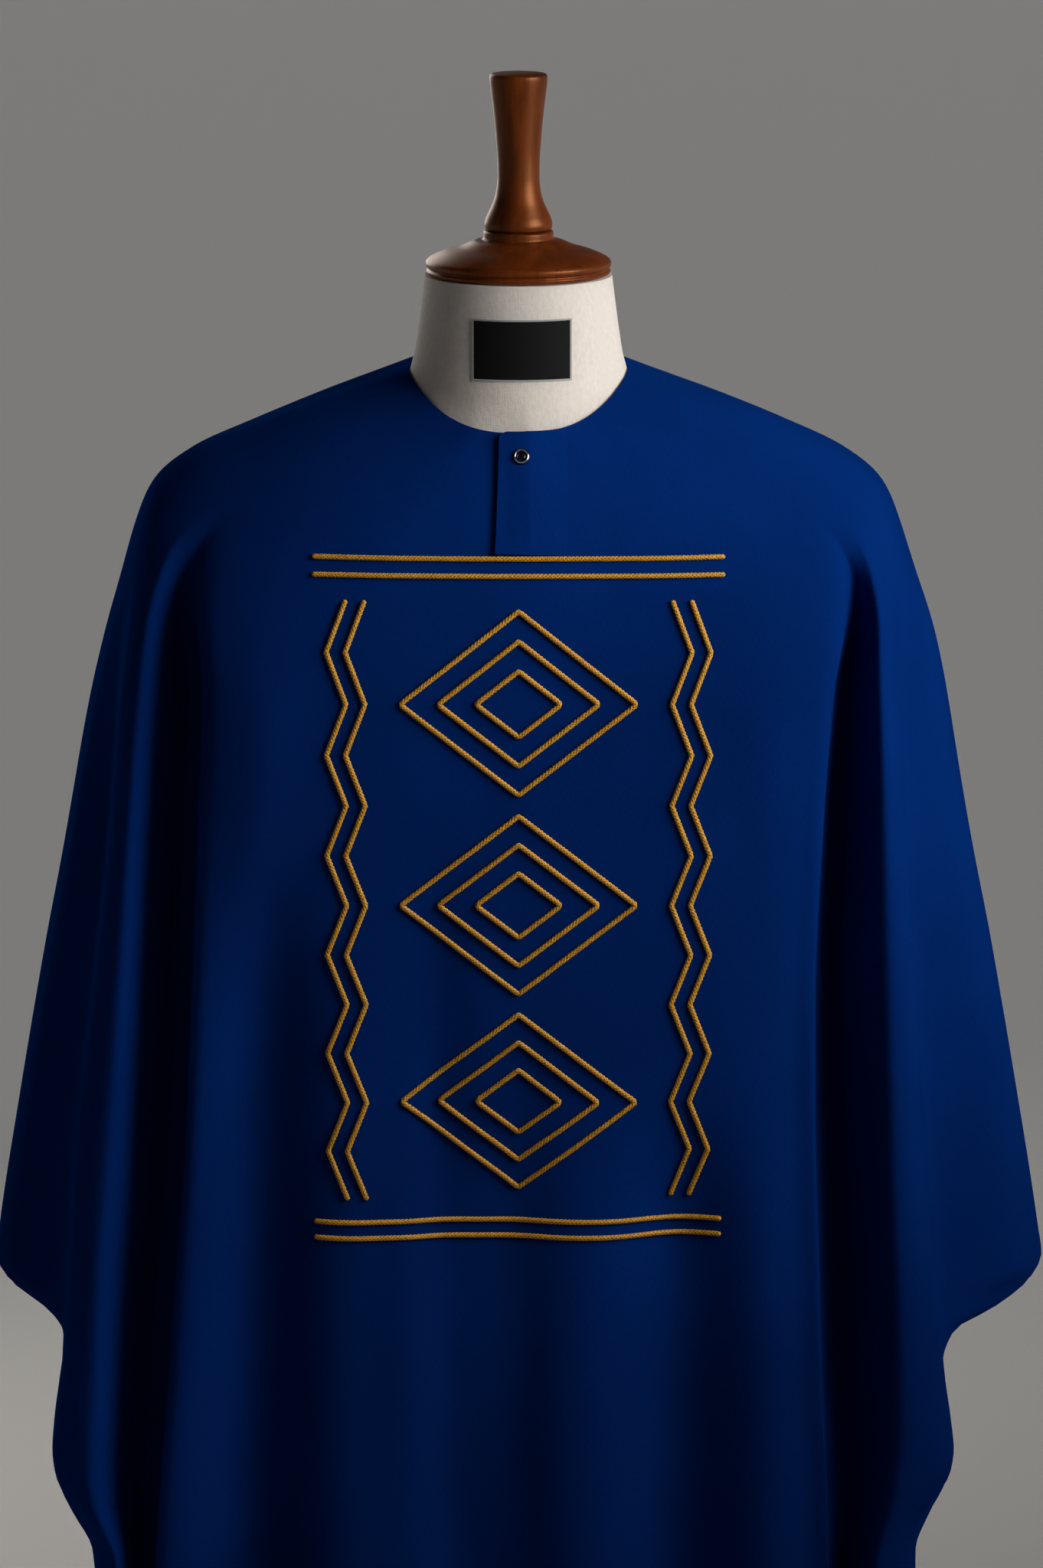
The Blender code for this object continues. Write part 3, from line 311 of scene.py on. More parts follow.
def plan(bearing, half_width, reach, square):
    """A point of a rounded-square plan at a bearing in degrees from its middle."""
    across, ahead = np.sin(np.radians(bearing)), np.cos(np.radians(bearing))
    size = (np.abs(across) ** square + np.abs(ahead) ** square) ** (-1 / square)
    return half_width * across * size, reach * ahead * size


def trough_depth(face, x, level):
    """How far the soft folds take the cloth in at x."""
    total = np.zeros_like(x)
    for trough in TROUGHS[face]:
        share = min(max((trough.start - level) / (trough.start - HEM_LEVEL), 0.0), 1.0)
        middle = mix(trough.top_x, trough.hem_x, share)
        width = trough.half_width * (TROUGH_WIDTH + TROUGH_WIDENING * share)
        depth = trough.depth * share ** TROUGH_GROWTH * smoothstep(0.0, TROUGH_ONSET, share)
        total += depth * np.exp(-(((x - middle) / width) ** 2))
    return total


def fold_line_points(side, face, level):
    """The (x, y) of a quarter ring's stations where the cloth hangs in folds."""
    place = {column: float(curve(level)) for column, curve in PLACE_CURVES[side].items()}
    depth = {column: float(curve(level)) for column, curve in DEPTH_CURVES.items()}
    plane = float(RING_CURVES["front_y" if face == "front" else "back_y"](level))
    inward, fold = (1, 1.0) if face == "front" else (-1, BACK_FOLDS)
    lines = {name: (place[name], plane + inward * depth[name] * fold) for name in Depths._fields[1:-1]}
    lines["middle"] = (0.0, plane)
    points = []
    for first, second, along, deep, out in FOLD_STATIONS:
        (x, y), (next_x, next_y) = lines[first], lines[second]
        points.append((mix(x, next_x, along) + out, mix(y, next_y, deep)))
    edge_x, edge_y = place["edge"], -inward * depth["edge"]
    closed = 1 - float(smoothstep(0.0, OPEN_CUFF, depth["edge"]))
    reach = mix(FLANK_OPEN, FLANK_CLOSED, closed)
    flank = (mix(lines["tuck"][0], edge_x, reach), mix(lines["tuck"][1], edge_y, 0.5))
    beyond_open = (2 * edge_x - flank[0], 2 * edge_y - flank[1])
    beyond = tuple(mix(a, b, closed) for a, b in zip(beyond_open, (flank[0], -flank[1])))
    return points + [flank, (edge_x, edge_y), beyond]


def quarter_ring(side, face, level, shares):
    """Points of a quarter of the robe's outside at one level: share 0 is the centre line, 1 the edge."""
    ring = {column: float(curve(level)) for column, curve in RING_CURVES.items()}
    plane = ring["front_y"] if face == "front" else ring["back_y"]
    hanging = float(smoothstep(*HANGING, level))
    bearings = [s.bearing for s in STATIONS] + [180 - STATIONS[-2].bearing]
    worn = [plan(bearing, ring["side_x"], plane, ring["square"]) for bearing in bearings]
    hung = fold_line_points(side, face, level)
    points = [(mix(a[0], b[0], hanging), mix(a[1], b[1], hanging)) for a, b in zip(worn, hung)]
    points = [(-points[1][0], points[1][1])] + points
    knots = [-STATIONS[1].share] + [s.share for s in STATIONS] + [2 - STATIONS[-2].share]
    x = monotone(knots, [p[0] for p in points])(shares)
    y = monotone(knots, [p[1] for p in points])(shares)
    body = 1 - smoothstep(*TROUGH_FADE, shares)
    y = y + (1 if face == "front" else -1) * body * trough_depth(face, side * x, level)
    middle_z = level if face == "front" else ring["back_z"]
    lift = np.sin(np.radians(BEARING(shares))) ** SIDE_LIFT
    return np.stack([side * x, y, mix(middle_z, ring["side_z"], lift)], axis=-1)


def crease_height(face, x, z):
    """How far the finer creases stand out of the cloth."""
    total = np.zeros_like(x)
    for crease in CREASES[face]:
        run = np.clip((crease.top_z - z) / (crease.top_z - crease.foot_z), 0.0, 1.0)
        middle = mix(crease.top_x, crease.foot_x, run)
        total += crease.height * np.sin(np.pi * run) * np.exp(-(((x - middle) / crease.half_width) ** 2))
    if face == "front":
        beside = np.exp(-((x + 0.5 * SLIT_HOLLOW_WIDTH) / SLIT_HOLLOW_WIDTH) ** 2) * (x < SLIT_HOLLOW_EDGE)
        total -= SLIT_HOLLOW_DEPTH * beside * smoothstep(*SLIT_HOLLOW_RISE, z)
    return total


class ClothGrid:
    """The front or back half of the robe: points, outward directions and lengths of a fine grid."""

    def __init__(self, face, shares, levels, wobble):
        self.face, self.shares, self.levels = face, shares, levels
        left, right = -shares[shares < 0], shares[shares >= 0]
        rows = [
            np.concatenate([quarter_ring(-1, face, level, left), quarter_ring(1, face, level, right)])
            for level in levels
        ]
        self.points = np.array(rows)
        self.normals = self.outward()
        x, z = self.points[..., 0], self.points[..., 2]
        relief = crease_height(face, x, z) + wobble * self.soft_noise()
        self.points = self.points + self.normals * relief[..., None]
        self.normals = self.outward()
        along = np.linalg.norm(np.diff(self.points, axis=1), axis=2)
        self.across = np.concatenate([np.zeros((len(levels), 1)), np.cumsum(along, axis=1)], axis=1)
        self.across -= self.across[:, [int(np.argmin(np.abs(shares)))]]
        down = np.linalg.norm(np.diff(self.points, axis=0), axis=2)
        self.down = np.concatenate([np.zeros((1, len(shares))), np.cumsum(down, axis=0)], axis=0)

    def outward(self):
        run_across = np.gradient(self.points, axis=1)
        run_down = np.gradient(self.points, axis=0)
        normals = np.cross(run_down, run_across)
        normals /= np.linalg.norm(normals, axis=2, keepdims=True)
        return normals if self.face == "front" else -normals

    def soft_noise(self):
        """A gentle unevenness, longer down the cloth than across it."""
        spots = self.points * np.array(NOISE_SCALE)
        flat = [noise.noise(Vector(spot)) for spot in spots.reshape(-1, 3)]
        return np.array(flat).reshape(self.points.shape[:2])


def robe_levels():
    """Levels of the grid's rows, top to bottom, with the seam, slit and cuff levels among them."""
    fixed = [RINGS[0].level, SLIT_LEVEL, SHOULDER_SEAM_LEVEL, CUFF_TOP, CUFF_FOOT, HEM_LEVEL]
    levels = [fixed[0]]
    for upper, lower in zip(fixed, fixed[1:]):
        count = math.ceil((upper - lower) / ROW_HEIGHT)
        levels += [mix(upper, lower, k / count) for k in range(1, count + 1)]
    return levels


def robe_shares():
    """Signed shares of the grid's columns, with the centre line and seams among them."""
    body = [SEAM_SHARE * k / BODY_CELLS for k in range(BODY_CELLS + 1)]
    folds = [mix(SEAM_SHARE, 1.0, k / FOLD_CELLS) for k in range(1, FOLD_CELLS + 1)]
    quarter = body + folds
    return np.array([-share for share in reversed(quarter[1:])] + quarter)


# ---- mesh helpers
def finish_mesh(name, bm, material, sharp=50):
    """Turns a bmesh into a smooth-shaded object with one material."""
    mesh = bpy.data.meshes.new(name)
    bm.to_mesh(mesh)
    bm.free()
    mesh.materials.append(material)
    mesh.shade_smooth()
    mesh.set_sharp_from_angle(angle=math.radians(sharp))
    made = bpy.data.objects.new(name, mesh)
    bpy.context.scene.collection.objects.link(made)
    return made


def mapped_grid(across, down, place, keep=None, slit=None, thickness=0.0, merge=False):
    """A grid of across by down cells put in place point by point, as a bmesh.

    place(i, j, half) gives a point, its outward direction and its UV, where half says whether
    the point belongs to the cells left (-1) or right (1) of the slit. keep(i, j) says which
    cells stay, and slit is (column, first row, last row) of a cut. Row 0 is the lowest.
    """
    bm = bmesh.new()
    column_layer = bm.verts.layers.int.new("column")
    row_layer = bm.verts.layers.int.new("row")
    half_layer = bm.verts.layers.int.new("half")
    uv_layer = bm.loops.layers.uv.new("UVMap")
    bmesh.ops.create_grid(bm, x_segments=across, y_segments=down, size=0.5)
    for v in bm.verts:
        v[column_layer] = round((v.co.x + 0.5) * across)
        v[row_layer] = round((v.co.y + 0.5) * down)
    corner = {face: (min(v[column_layer] for v in face.verts), min(v[row_layer] for v in face.verts))
              for face in bm.faces}
    if keep:
        gone = [face for face, at in corner.items() if not keep(*at)]
        bmesh.ops.delete(bm, geom=gone, context="FACES")
    if slit:
        column, first, last = slit
        cut = [
            e for e in bm.edges
            if all(v[column_layer] == column and first <= v[row_layer] <= last for v in e.verts)
        ]
        bmesh.ops.split_edges(bm, edges=cut)
    for v in bm.verts:
        cells = [min(w[column_layer] for w in face.verts) for face in v.link_faces]
        v[half_layer] = -1 if slit and min(cells) < slit[0] else 1
    outward, spread = {}, {}
    for v in bm.verts:
        key = (v[column_layer], v[row_layer], v[half_layer])
        v.co, outward[key], spread[key] = place(*key)
    for face in bm.faces:
        for loop in face.loops:
            v = loop.vert
            loop[uv_layer].uv = spread[v[column_layer], v[row_layer], v[half_layer]]
    if thickness:
        made = bmesh.ops.extrude_face_region(bm, geom=bm.faces[:], use_keep_orig=True)
        for v in made["geom"]:
            if isinstance(v, bmesh.types.BMVert):
                key = (v[column_layer], v[row_layer], v[half_layer])
                v.co -= Vector(outward[key]) * thickness
    if merge:
        bmesh.ops.remove_doubles(bm, verts=bm.verts, dist=1e-6)
        bmesh.ops.holes_fill(bm, edges=[e for e in bm.edges if e.is_boundary])
    bmesh.ops.recalc_face_normals(bm, faces=bm.faces)
    return bm


def turned(name, profile, material, steps):
    """A turned piece: (radius, height) points spun about the Z axis."""
    bm = bmesh.new()
    points = [bm.verts.new((radius, 0.0, height)) for radius, height in profile]
    edges = [bm.edges.new(pair) for pair in zip(points, points[1:])]
    bmesh.ops.spin(
        bm, geom=points + edges, cent=(0, 0, 0), axis=(0, 0, 1),
        angle=2 * math.pi, steps=steps, use_merge=True,
    )
    bmesh.ops.remove_doubles(bm, verts=bm.verts, dist=1e-7)
    bmesh.ops.recalc_face_normals(bm, faces=bm.faces)
    return finish_mesh(name, bm, material, sharp=35)


def smooth_profile(points, steps=6):
    """A turned profile through given points, with a curve between each pair of them."""
    knots = np.concatenate([[0.0], np.cumsum([math.dist(a, b) for a, b in zip(points, points[1:])])])
    radius, height = monotone(knots, [p[0] for p in points]), monotone(knots, [p[1] for p in points])
    spots = []
    for a, b in zip(knots, knots[1:]):
        spots += [mix(a, b, k / steps) for k in range(steps)]
    spots.append(knots[-1])
    return [(float(radius(s)), float(height(s))) for s in spots]


def skin_of(obj):
    """Gives the (point, outward) of a piece's front at (x, z)."""
    tree = BVHTree.FromPolygons(
        [v.co for v in obj.data.vertices], [p.vertices for p in obj.data.polygons]
    )

    def at(x, z):
        point, outward, _, _ = tree.ray_cast(Vector((x, -1.0, z)), Vector((0, 1, 0)))
        if point is None:
            raise ValueError(f"{obj.name} has no front at x {x:.4f}, z {z:.4f}")
        return point, outward

    return at


# ---- material helpers
FINISHES = {}


class Finish:
    """A procedural material while it is made: its helpers return the sockets to go on from."""

    def __init__(self, name, colour, roughness, **inputs):
        if name in bpy.data.materials:
            raise RuntimeError(f"a material is already named {name}")
        self.material = bpy.data.materials.new(name)
        self.material.use_nodes = True
        self.tree = self.material.node_tree
        self.shader = self.tree.nodes["Principled BSDF"]
        self.set_up(self.shader, Base_Color=(*colour, 1.0), Roughness=roughness, **inputs)

    def set_up(self, made, **values):
        """Sets a node's properties and named inputs; a socket is linked instead."""
        for name, value in values.items():
            if name in made.bl_rna.properties:
                setattr(made, name, value)
            else:
                self.feed(made.inputs[name.replace("_", " ")], value)
        return made

    def feed(self, socket, value):
        if isinstance(value, bpy.types.NodeSocket):
            self.tree.links.new(value, socket)
        else:
            socket.default_value = value

    def node(self, kind, **values):
        return self.set_up(self.tree.nodes.new("ShaderNode" + kind), **values)

    def texture(self, kind, coordinates, scale=(1.0, 1.0, 1.0), turn=0.0, **values):
        """A texture's value over Object or UV coordinates, through a scale and a turn."""
        source = self.node("TexCoord").outputs[coordinates]
        mapping = self.node("Mapping", Vector=source, Scale=scale, Rotation=(0.0, 0.0, turn))
        return self.node("Tex" + kind, Vector=mapping.outputs["Vector"], **values).outputs["Fac"]

    def bands(self, direction, scale=(1.0, 1.0, 1.0), turn=0.0, **values):
        """Even bands across the piece's own UV map."""
        return self.texture("Wave", "UV", scale, turn, wave_type="BANDS", bands_direction=direction, **values)

    def ramp(self, source, *stops):
        """A colour ramp over a value: stops are (place, colour)."""
        made = self.node("ValToRGB", Fac=source)
        elements = made.color_ramp.elements
        elements[0].position, elements[0].color = stops[0][0], (*stops[0][1], 1.0)
        elements[1].position, elements[1].color = stops[-1][0], (*stops[-1][1], 1.0)
        for place, colour in stops[1:-1]:
            elements.new(place).color = (*colour, 1.0)
        return made.outputs["Color"]

    def colour_from(self, factor, first, second, blend_type="MIX"):
        """Colours the shader with two colours blended."""
        made = self.node("Mix", data_type="RGBA", blend_type=blend_type)
        for socket, value in zip((made.inputs[0], made.inputs[6], made.inputs[7]), (factor, first, second)):
            self.feed(socket, value)
        self.feed(self.shader.inputs["Base Color"], made.outputs[2])

    def maths(self, operation, *values):
        made = self.node("Math", operation=operation)
        for socket, value in zip(made.inputs, values):
            self.feed(socket, value)
        return made.outputs[0]

    def raise_grain(self, *layers):
        """Bumps from heights, each on top of the one before: layers are (height, strength, distance)."""
        for height, strength, distance in layers:
            bump = self.node("Bump", Height=height, Strength=strength, Distance=distance)
            if self.shader.inputs["Normal"].is_linked:
                self.feed(bump.inputs["Normal"], self.shader.inputs["Normal"].links[0].from_socket)
            self.feed(self.shader.inputs["Normal"], bump.outputs["Normal"])


def toned(colour, share):
    """A colour made darker or lighter."""
    return tuple(min(share * c, 1.0) for c in colour)


def grey(value):
    return (value,) * 3


def band_scale(period):
    """The Scale that gives a Wave texture bands a period apart."""
    return math.pi / (10 * period)


def once(maker, *settings):
    """A material made the first time that it is asked for."""
    if maker.__name__ not in FINISHES:
        FINISHES[maker.__name__] = maker(*settings).material
    return FINISHES[maker.__name__]


# ---- materials
def blue_twill(settings):
    """Royal blue suiting: a fine twill with a soft sheen."""
    cloth = Finish("blue_twill", settings.colour, settings.roughness, Specular_IOR_Level=0.0,
                   Sheen_Weight=settings.sheen, Sheen_Roughness=0.45, Sheen_Tint=(0.01, 0.16, 0.80, 1.0))
    twill = cloth.bands("DIAGONAL", Scale=band_scale(settings.twill_period), Distortion=0.6, Detail=1.0)
    threads = cloth.texture("Noise", "UV", (1.0, 0.25, 1.0), Scale=900.0, Detail=2.0, Roughness=0.6)
    clouds = cloth.texture("Noise", "Object", (1.0, 1.0, 0.5), Scale=7.0, Detail=3.0)
    tone = cloth.ramp(clouds, (0.3, toned(settings.colour, 0.78)), (0.7, toned(settings.colour, 1.18)))
    cloth.colour_from(1.0, tone, cloth.ramp(threads, (0.25, grey(0.82)), (0.75, grey(1.0))), "MULTIPLY")
    cloth.raise_grain((threads, 0.18, 0.0003), (twill, 0.14, 0.0002))
    return cloth


def plaited_cord(settings):
    """Mustard-gold silk cord, plaited so that its threads cross, with painted shade in its grooves and
    painted highlights on its crossings.
    """
    cord = Finish("plaited_cord", settings.colour, 0.45, Sheen_Weight=0.15,
                  Sheen_Tint=(1.0, 0.75, 0.30, 1.0))
    plaits = [cord.bands("X", (194.0, 194.0, 1.0), turn, Scale=1.0, Distortion=1.2, Detail=1.0)
              for turn in (0.9, -0.9)]
    fuzz = cord.texture("Noise", "Object", Scale=1500.0, Detail=2.0)
    relief = cord.maths("ADD", cord.maths("MAXIMUM", *plaits), fuzz)
    # The colour follows the plait's height: painted shade in the grooves between the strands and a painted
    # highlight on the raised crossings, over the cord's own gold.
    tone = cord.ramp(relief, (0.85, toned(settings.colour, 0.20)), (1.15, settings.colour),
                     (1.45, toned(settings.colour, 1.45)))
    cord.feed(cord.shader.inputs["Base Color"], tone)
    cord.raise_grain((relief, 0.6, 0.0004))
    return cord


def slubbed_linen(settings):
    """Natural linen, woven square, with slubs and short upright creases."""
    linen = Finish("slubbed_linen", settings.linen, 0.88, Subsurface_Weight=0.3, Subsurface_Scale=0.025,
                   Subsurface_Radius=(1.0, 0.85, 0.70))
    weave = linen.maths("ADD", *(
        linen.bands(direction, Scale=band_scale(LINEN_PERIOD), Distortion=1.6, Detail=2.0)
        for direction in ("X", "Y")
    ))
    slubs = linen.texture("Noise", "UV", (1.0, 0.45, 1.0), Scale=430.0, Detail=3.0, Roughness=0.6)
    rumple = linen.texture("Noise", "UV", (1.0, 0.80, 1.0), Scale=55.0, Detail=2.0)
    tone = linen.ramp(slubs, (0.32, toned(settings.linen, 0.92)), (0.60, settings.linen))
    linen.colour_from(1.0, tone, linen.ramp(weave, (0.3, grey(0.96)), (1.4, grey(1.0))), "MULTIPLY")
    linen.raise_grain((rumple, 0.08, 0.0020), (slubs, 0.45, 0.0007), (weave, 0.18, 0.0003))
    return linen


def varnished_wood(settings):
    """Stained hardwood: long grain with fine pores under a satin varnish."""
    wood = Finish("varnished_wood", settings.wood, 0.40, Specular_IOR_Level=1.0, Coat_Weight=0.02,
                  Coat_Roughness=0.25, Specular_Tint=(1.0, 0.40, 0.16, 1.0))
    grain = wood.texture("Noise", "Object", (1.0, 1.0, 0.10), Scale=26.0, Detail=6.0, Roughness=0.62,
                         Distortion=1.2)
    pores = wood.texture("Noise", "Object", (1.0, 1.0, 0.05), Scale=420.0, Detail=2.0)
    tone = wood.ramp(grain, (0.30, toned(settings.wood, 0.38)), (0.50, settings.wood),
                     (0.70, toned(settings.wood, 1.5)))
    wood.colour_from(0.8, tone, wood.ramp(pores, (0.34, grey(0.55)), (0.46, grey(1.0))), "MULTIPLY")
    wood.raise_grain((pores, 0.12, 0.0003))
    return wood


def black_patch_satin():
    """Plain black satin patch with a fine grey border stitched round it."""
    satin = Finish("black_patch_satin", PATCH_BLACK, 0.75, Specular_IOR_Level=0.15)
    parts = satin.node("SeparateXYZ", Vector=satin.node("TexCoord").outputs["UV"]).outputs
    beyond = []
    for axis, size in (("X", LABEL_RIGHT - LABEL_LEFT), ("Y", LABEL_TOP - LABEL_FOOT)):
        from_middle = satin.maths("ABSOLUTE", satin.maths("SUBTRACT", parts[axis], 0.5))
        beyond.append(satin.maths("GREATER_THAN", from_middle, 0.5 - LABEL_BORDER / size))
    satin.colour_from(satin.maths("MAXIMUM", *beyond), (*PATCH_BLACK, 1.0), (0.42, 0.42, 0.43, 1.0))
    satin.raise_grain((satin.texture("Noise", "Object", Scale=900.0, Detail=1.0), 0.25, 0.0002))
    return satin


def polished_metal():
    """Bright nickel with the faint scuffs of use."""
    metal = Finish("polished_metal", (0.95, 0.95, 0.97), 0.20, Metallic=1.0)
    metal.raise_grain((metal.texture("Noise", "Object", Scale=2500.0, Detail=2.0), 0.05, 0.0001))
    return metal


def glossy_enamel():
    """Black enamel with a little dust under its gloss."""
    enamel = Finish("glossy_enamel", (0.004, 0.004, 0.005), 0.22, Coat_Weight=0.1)
    enamel.raise_grain((enamel.texture("Noise", "Object", Scale=1800.0, Detail=2.0), 0.04, 0.0001))
    return enamel


# ---- the robe's pieces
GRIDS = {}


def cloth_grid(face, settings):
    """The fine grid of the front or back half, worked out once."""
    if face not in GRIDS:
        GRIDS[face] = ClothGrid(face, robe_shares(), robe_levels(), settings.wobble)
    return GRIDS[face]


def body_panel(name, face, settings):
    """The front or back: seam to seam over the body, and out to the shoulder line above."""
    grid = cloth_grid(face, settings)
    across, down = len(grid.shares) - 1, len(grid.levels) - 1
    seam = FOLD_CELLS
    armhole = down - grid.levels.index(SHOULDER_SEAM_LEVEL)
    middle = across // 2

    def keep(i, j):
        return seam <= i < across - seam or j >= armhole

    def place(i, j, half):
        row = down - j
        point = Vector(grid.points[row, i])
        if face == "front" and i == middle and grid.levels[row] > SLIT_LEVEL:
            point.x += half * SLIT_WIDTH / 2
        return point, grid.normals[row, i], (grid.across[row, i], -grid.down[row, i])

    slit = (middle, down - grid.levels.index(SLIT_LEVEL), down) if face == "front" else None
    bm = mapped_grid(across, down, place, keep=keep, slit=slit, thickness=settings.thickness)
    return finish_mesh(name, bm, once(blue_twill, settings))


def side_panel(name, side, settings):
    """A side panel: from the front seam round the sleeve's outer fold to the back seam."""
    front, back = cloth_grid("front", settings), cloth_grid("back", settings)
    middle, last = len(front.shares) // 2, 2 * FOLD_CELLS
    armhole = front.levels.index(SHOULDER_SEAM_LEVEL)
    down = len(front.levels) - 1 - armhole
    cuff = [down + armhole - front.levels.index(level) for level in (CUFF_FOOT, CUFF_TOP)]

    def place(i, j, half):
        row = armhole + down - j
        beyond = i > FOLD_CELLS or (i == FOLD_CELLS and half > 0 and cuff[0] < j < cuff[1])
        grid = back if beyond else front
        from_seam = last - i if beyond else i
        column = middle + side * (BODY_CELLS + from_seam)
        normal = grid.normals[row, column]
        if i == FOLD_CELLS and not cuff[0] < j < cuff[1]:
            normal = front.normals[row, column] + back.normals[row, column]
            normal = normal / np.linalg.norm(normal)
        edge = middle + side * (BODY_CELLS + FOLD_CELLS)
        u = abs(grid.across[row, column])
        if beyond:
            u = abs(front.across[row, edge]) + abs(back.across[row, edge]) - u
        return Vector(grid.points[row, column]), normal, (u, -grid.down[row, column])

    bm = mapped_grid(last, down, place, slit=(FOLD_CELLS, *cuff), thickness=settings.thickness)
    return finish_mesh(name, bm, once(blue_twill, settings))


# ---- placket and snap
PLACKET_FOOT_X, PLACKET_TOP_X, PLACKET_INNER_X = -0.0155, -0.0125, 0.0420
PLACKET_FOOT = 1.3885
PLACKET_STAND = 0.0034        # how far the free edge stands out of the front
PLACKET_CORNER = 0.006        # radius of its upper corner
PLACKET_CELLS = 40, 56
PLACKET_CROWDING = 1.6        # how far its columns crowd towards the free edge
PLACKET_FADE = 0.10           # share of its width that stands fully out
PLACKET_SINK = 0.0004         # how far its other side lies in the front
PLACKET_THINNESS = 0.9        # its thickness against the cloth's
NECK_MARGIN = 0.0012          # how far below the neckline the front can still be met
SLIT_REACH = 0.007            # how far each side of the slit its own points aren't used
SNAP_X, SNAP_HEIGHT, SNAP_RADIUS = 0.0020, 1.4505, 0.0056
SNAP_RISE, SNAP_STEPS = 0.0002, 48
# Profiles of the snap's parts: (share of its radius, height).
FLANGE_PROFILE = (
    (0.76, 0.0), (0.97, 0.0), (1.0, 0.0005), (0.95, 0.0010), (0.88, 0.0011), (0.76, 0.0006), (0.76, 0.0),
)
RING_PROFILE = (
    (0.60, 0.0003), (0.86, 0.0004), (0.90, 0.0010), (0.84, 0.0017), (0.74, 0.0019), (0.65, 0.0013),
    (0.60, 0.0003),
)
DOME_PROFILE = (
    (0.0, 0.0001), (0.48, 0.0001), (0.50, 0.0008), (0.40, 0.0013), (0.20, 0.0016), (0.0, 0.0017),
)


def neckline_height(grid, x):
    """How high the front neckline stands at x."""
    return float(np.interp(x, grid.points[0, :, 0], grid.points[0, :, 2]))


def over_the_slit(skin, x, z):
    """The (point, outward) of the front at (x, z), carried smoothly over the slit."""
    if abs(x) >= SLIT_REACH:
        return skin(x, z)
    left, right = skin(-SLIT_REACH, z), skin(SLIT_REACH, z)
    share = (x + SLIT_REACH) / (2 * SLIT_REACH)
    return left[0].lerp(right[0], share), left[1].lerp(right[1], share).normalized()


def placket_piece(settings, front):
    """The overlap: a full-thickness free edge that fades into the front on its other side."""
    grid, skin = cloth_grid("front", settings), skin_of(front)
    across, down = PLACKET_CELLS

    def place(i, j, _):
        rise = j / down
        share = (i / across) ** PLACKET_CROWDING
        x = mix(mix(PLACKET_FOOT_X, PLACKET_TOP_X, rise), PLACKET_INNER_X, share)
        top = neckline_height(grid, x)
        from_edge = x - PLACKET_TOP_X
        if from_edge < PLACKET_CORNER:
            short = PLACKET_CORNER - from_edge
            top -= PLACKET_CORNER - math.sqrt(max(PLACKET_CORNER ** 2 - short ** 2, 0.0))
        z = mix(PLACKET_FOOT, top, rise)
        point, out = over_the_slit(skin, x, min(z, top - NECK_MARGIN))
        point = Vector((x, point.y, z))
        stand = PLACKET_STAND * (1 - float(smoothstep(PLACKET_FADE, 1.0, share))) - PLACKET_SINK * share
        return point + out * stand, out, (x, z)

    bm = mapped_grid(across, down, place, thickness=settings.thickness * PLACKET_THINNESS)
    return finish_mesh("robe_placket", bm, once(blue_twill, settings))


def snap_pieces(flap):
    """The press snap: a black flange, a bright ring and a black domed cap."""
    point, out = skin_of(flap)(SNAP_X, SNAP_HEIGHT)
    place = out.to_track_quat("Z", "Y").to_matrix().to_4x4()
    place.translation = point + out * SNAP_RISE
    pieces = []
    for name, profile, maker in (
        ("snap_flange", FLANGE_PROFILE, glossy_enamel), ("bright_snap_ring", RING_PROFILE, polished_metal),
        ("domed_snap_cap", DOME_PROFILE, glossy_enamel),
    ):
        profile = smooth_profile([(share * SNAP_RADIUS, height) for share, height in profile])
        pieces.append(turned(name, profile, once(maker), SNAP_STEPS))
        pieces[-1].data.transform(place)
    return pieces


# ---- the corded embroidery
EMBROIDERY_TOP, EMBROIDERY_FOOT = 1.386, 0.930
BAR_HALF_WIDTH, BAR_SPACING = 0.136, 0.011
BAR_MARGIN = 2.4 * BAR_SPACING    # from the outer bars to the lozenges and zigzags
LOZENGE_COUNT, LOZENGE_HALF_WIDTH, LOZENGE_GAP = 3, 0.078, 0.014
LOZENGE_SCALES = (1.0, 0.68, 0.36)
ZIGZAG_COUNT, ZIGZAG_DEPTH, ZIGZAG_TURNS = 2, 0.013, 12
ZIGZAG_X, ZIGZAG_SPACING = 0.101, 0.0125
CORD_SIDES, STRANDS = 12, 3
STRAND_RELIEF = 0.15          # how far each strand stands out of the cord's round
CORNER_RADIUS = 0.6           # of the cord's corners, in its widths
CORD_GIRTH = 2.6              # of the cord, in its widths
CORD_SINK = 0.0001            # how far the cord is pulled into the cloth
TIP_SHARE = 0.02              # least squared share of the width left at a cord's tip


def rounded_route(corners, radius, step, closed):
    """Points a step apart along straight runs whose corners are turned on a small radius."""
    corners = [Vector(corner) for corner in corners]
    count = len(corners)
    bends = []
    for k, corner in enumerate(corners):
        if not closed and k in (0, count - 1):
            bends.append([corner])
            continue
        back = (corners[k - 1] - corner).normalized()
        ahead = (corners[(k + 1) % count] - corner).normalized()
        reach = radius / math.tan(back.angle(ahead) / 2)
        start, end = corner + back * reach, corner + ahead * reach
        arc = [start.lerp(corner, t).lerp(corner.lerp(end, t), t) for t in (0.0, 0.25, 0.5, 0.75, 1.0)]
        bends.append(arc)
    knots = [point for bend in bends for point in bend]
    if closed:
        knots.append(knots[0])
    lengths = np.concatenate([[0.0], np.cumsum([(b - a).length for a, b in zip(knots, knots[1:])])])
    spots = np.linspace(0.0, lengths[-1], max(int(lengths[-1] / step), 4) + 1)
    x = np.interp(spots, lengths, [p.x for p in knots])
    z = np.interp(spots, lengths, [p.y for p in knots])
    return list(zip(x, z)), spots


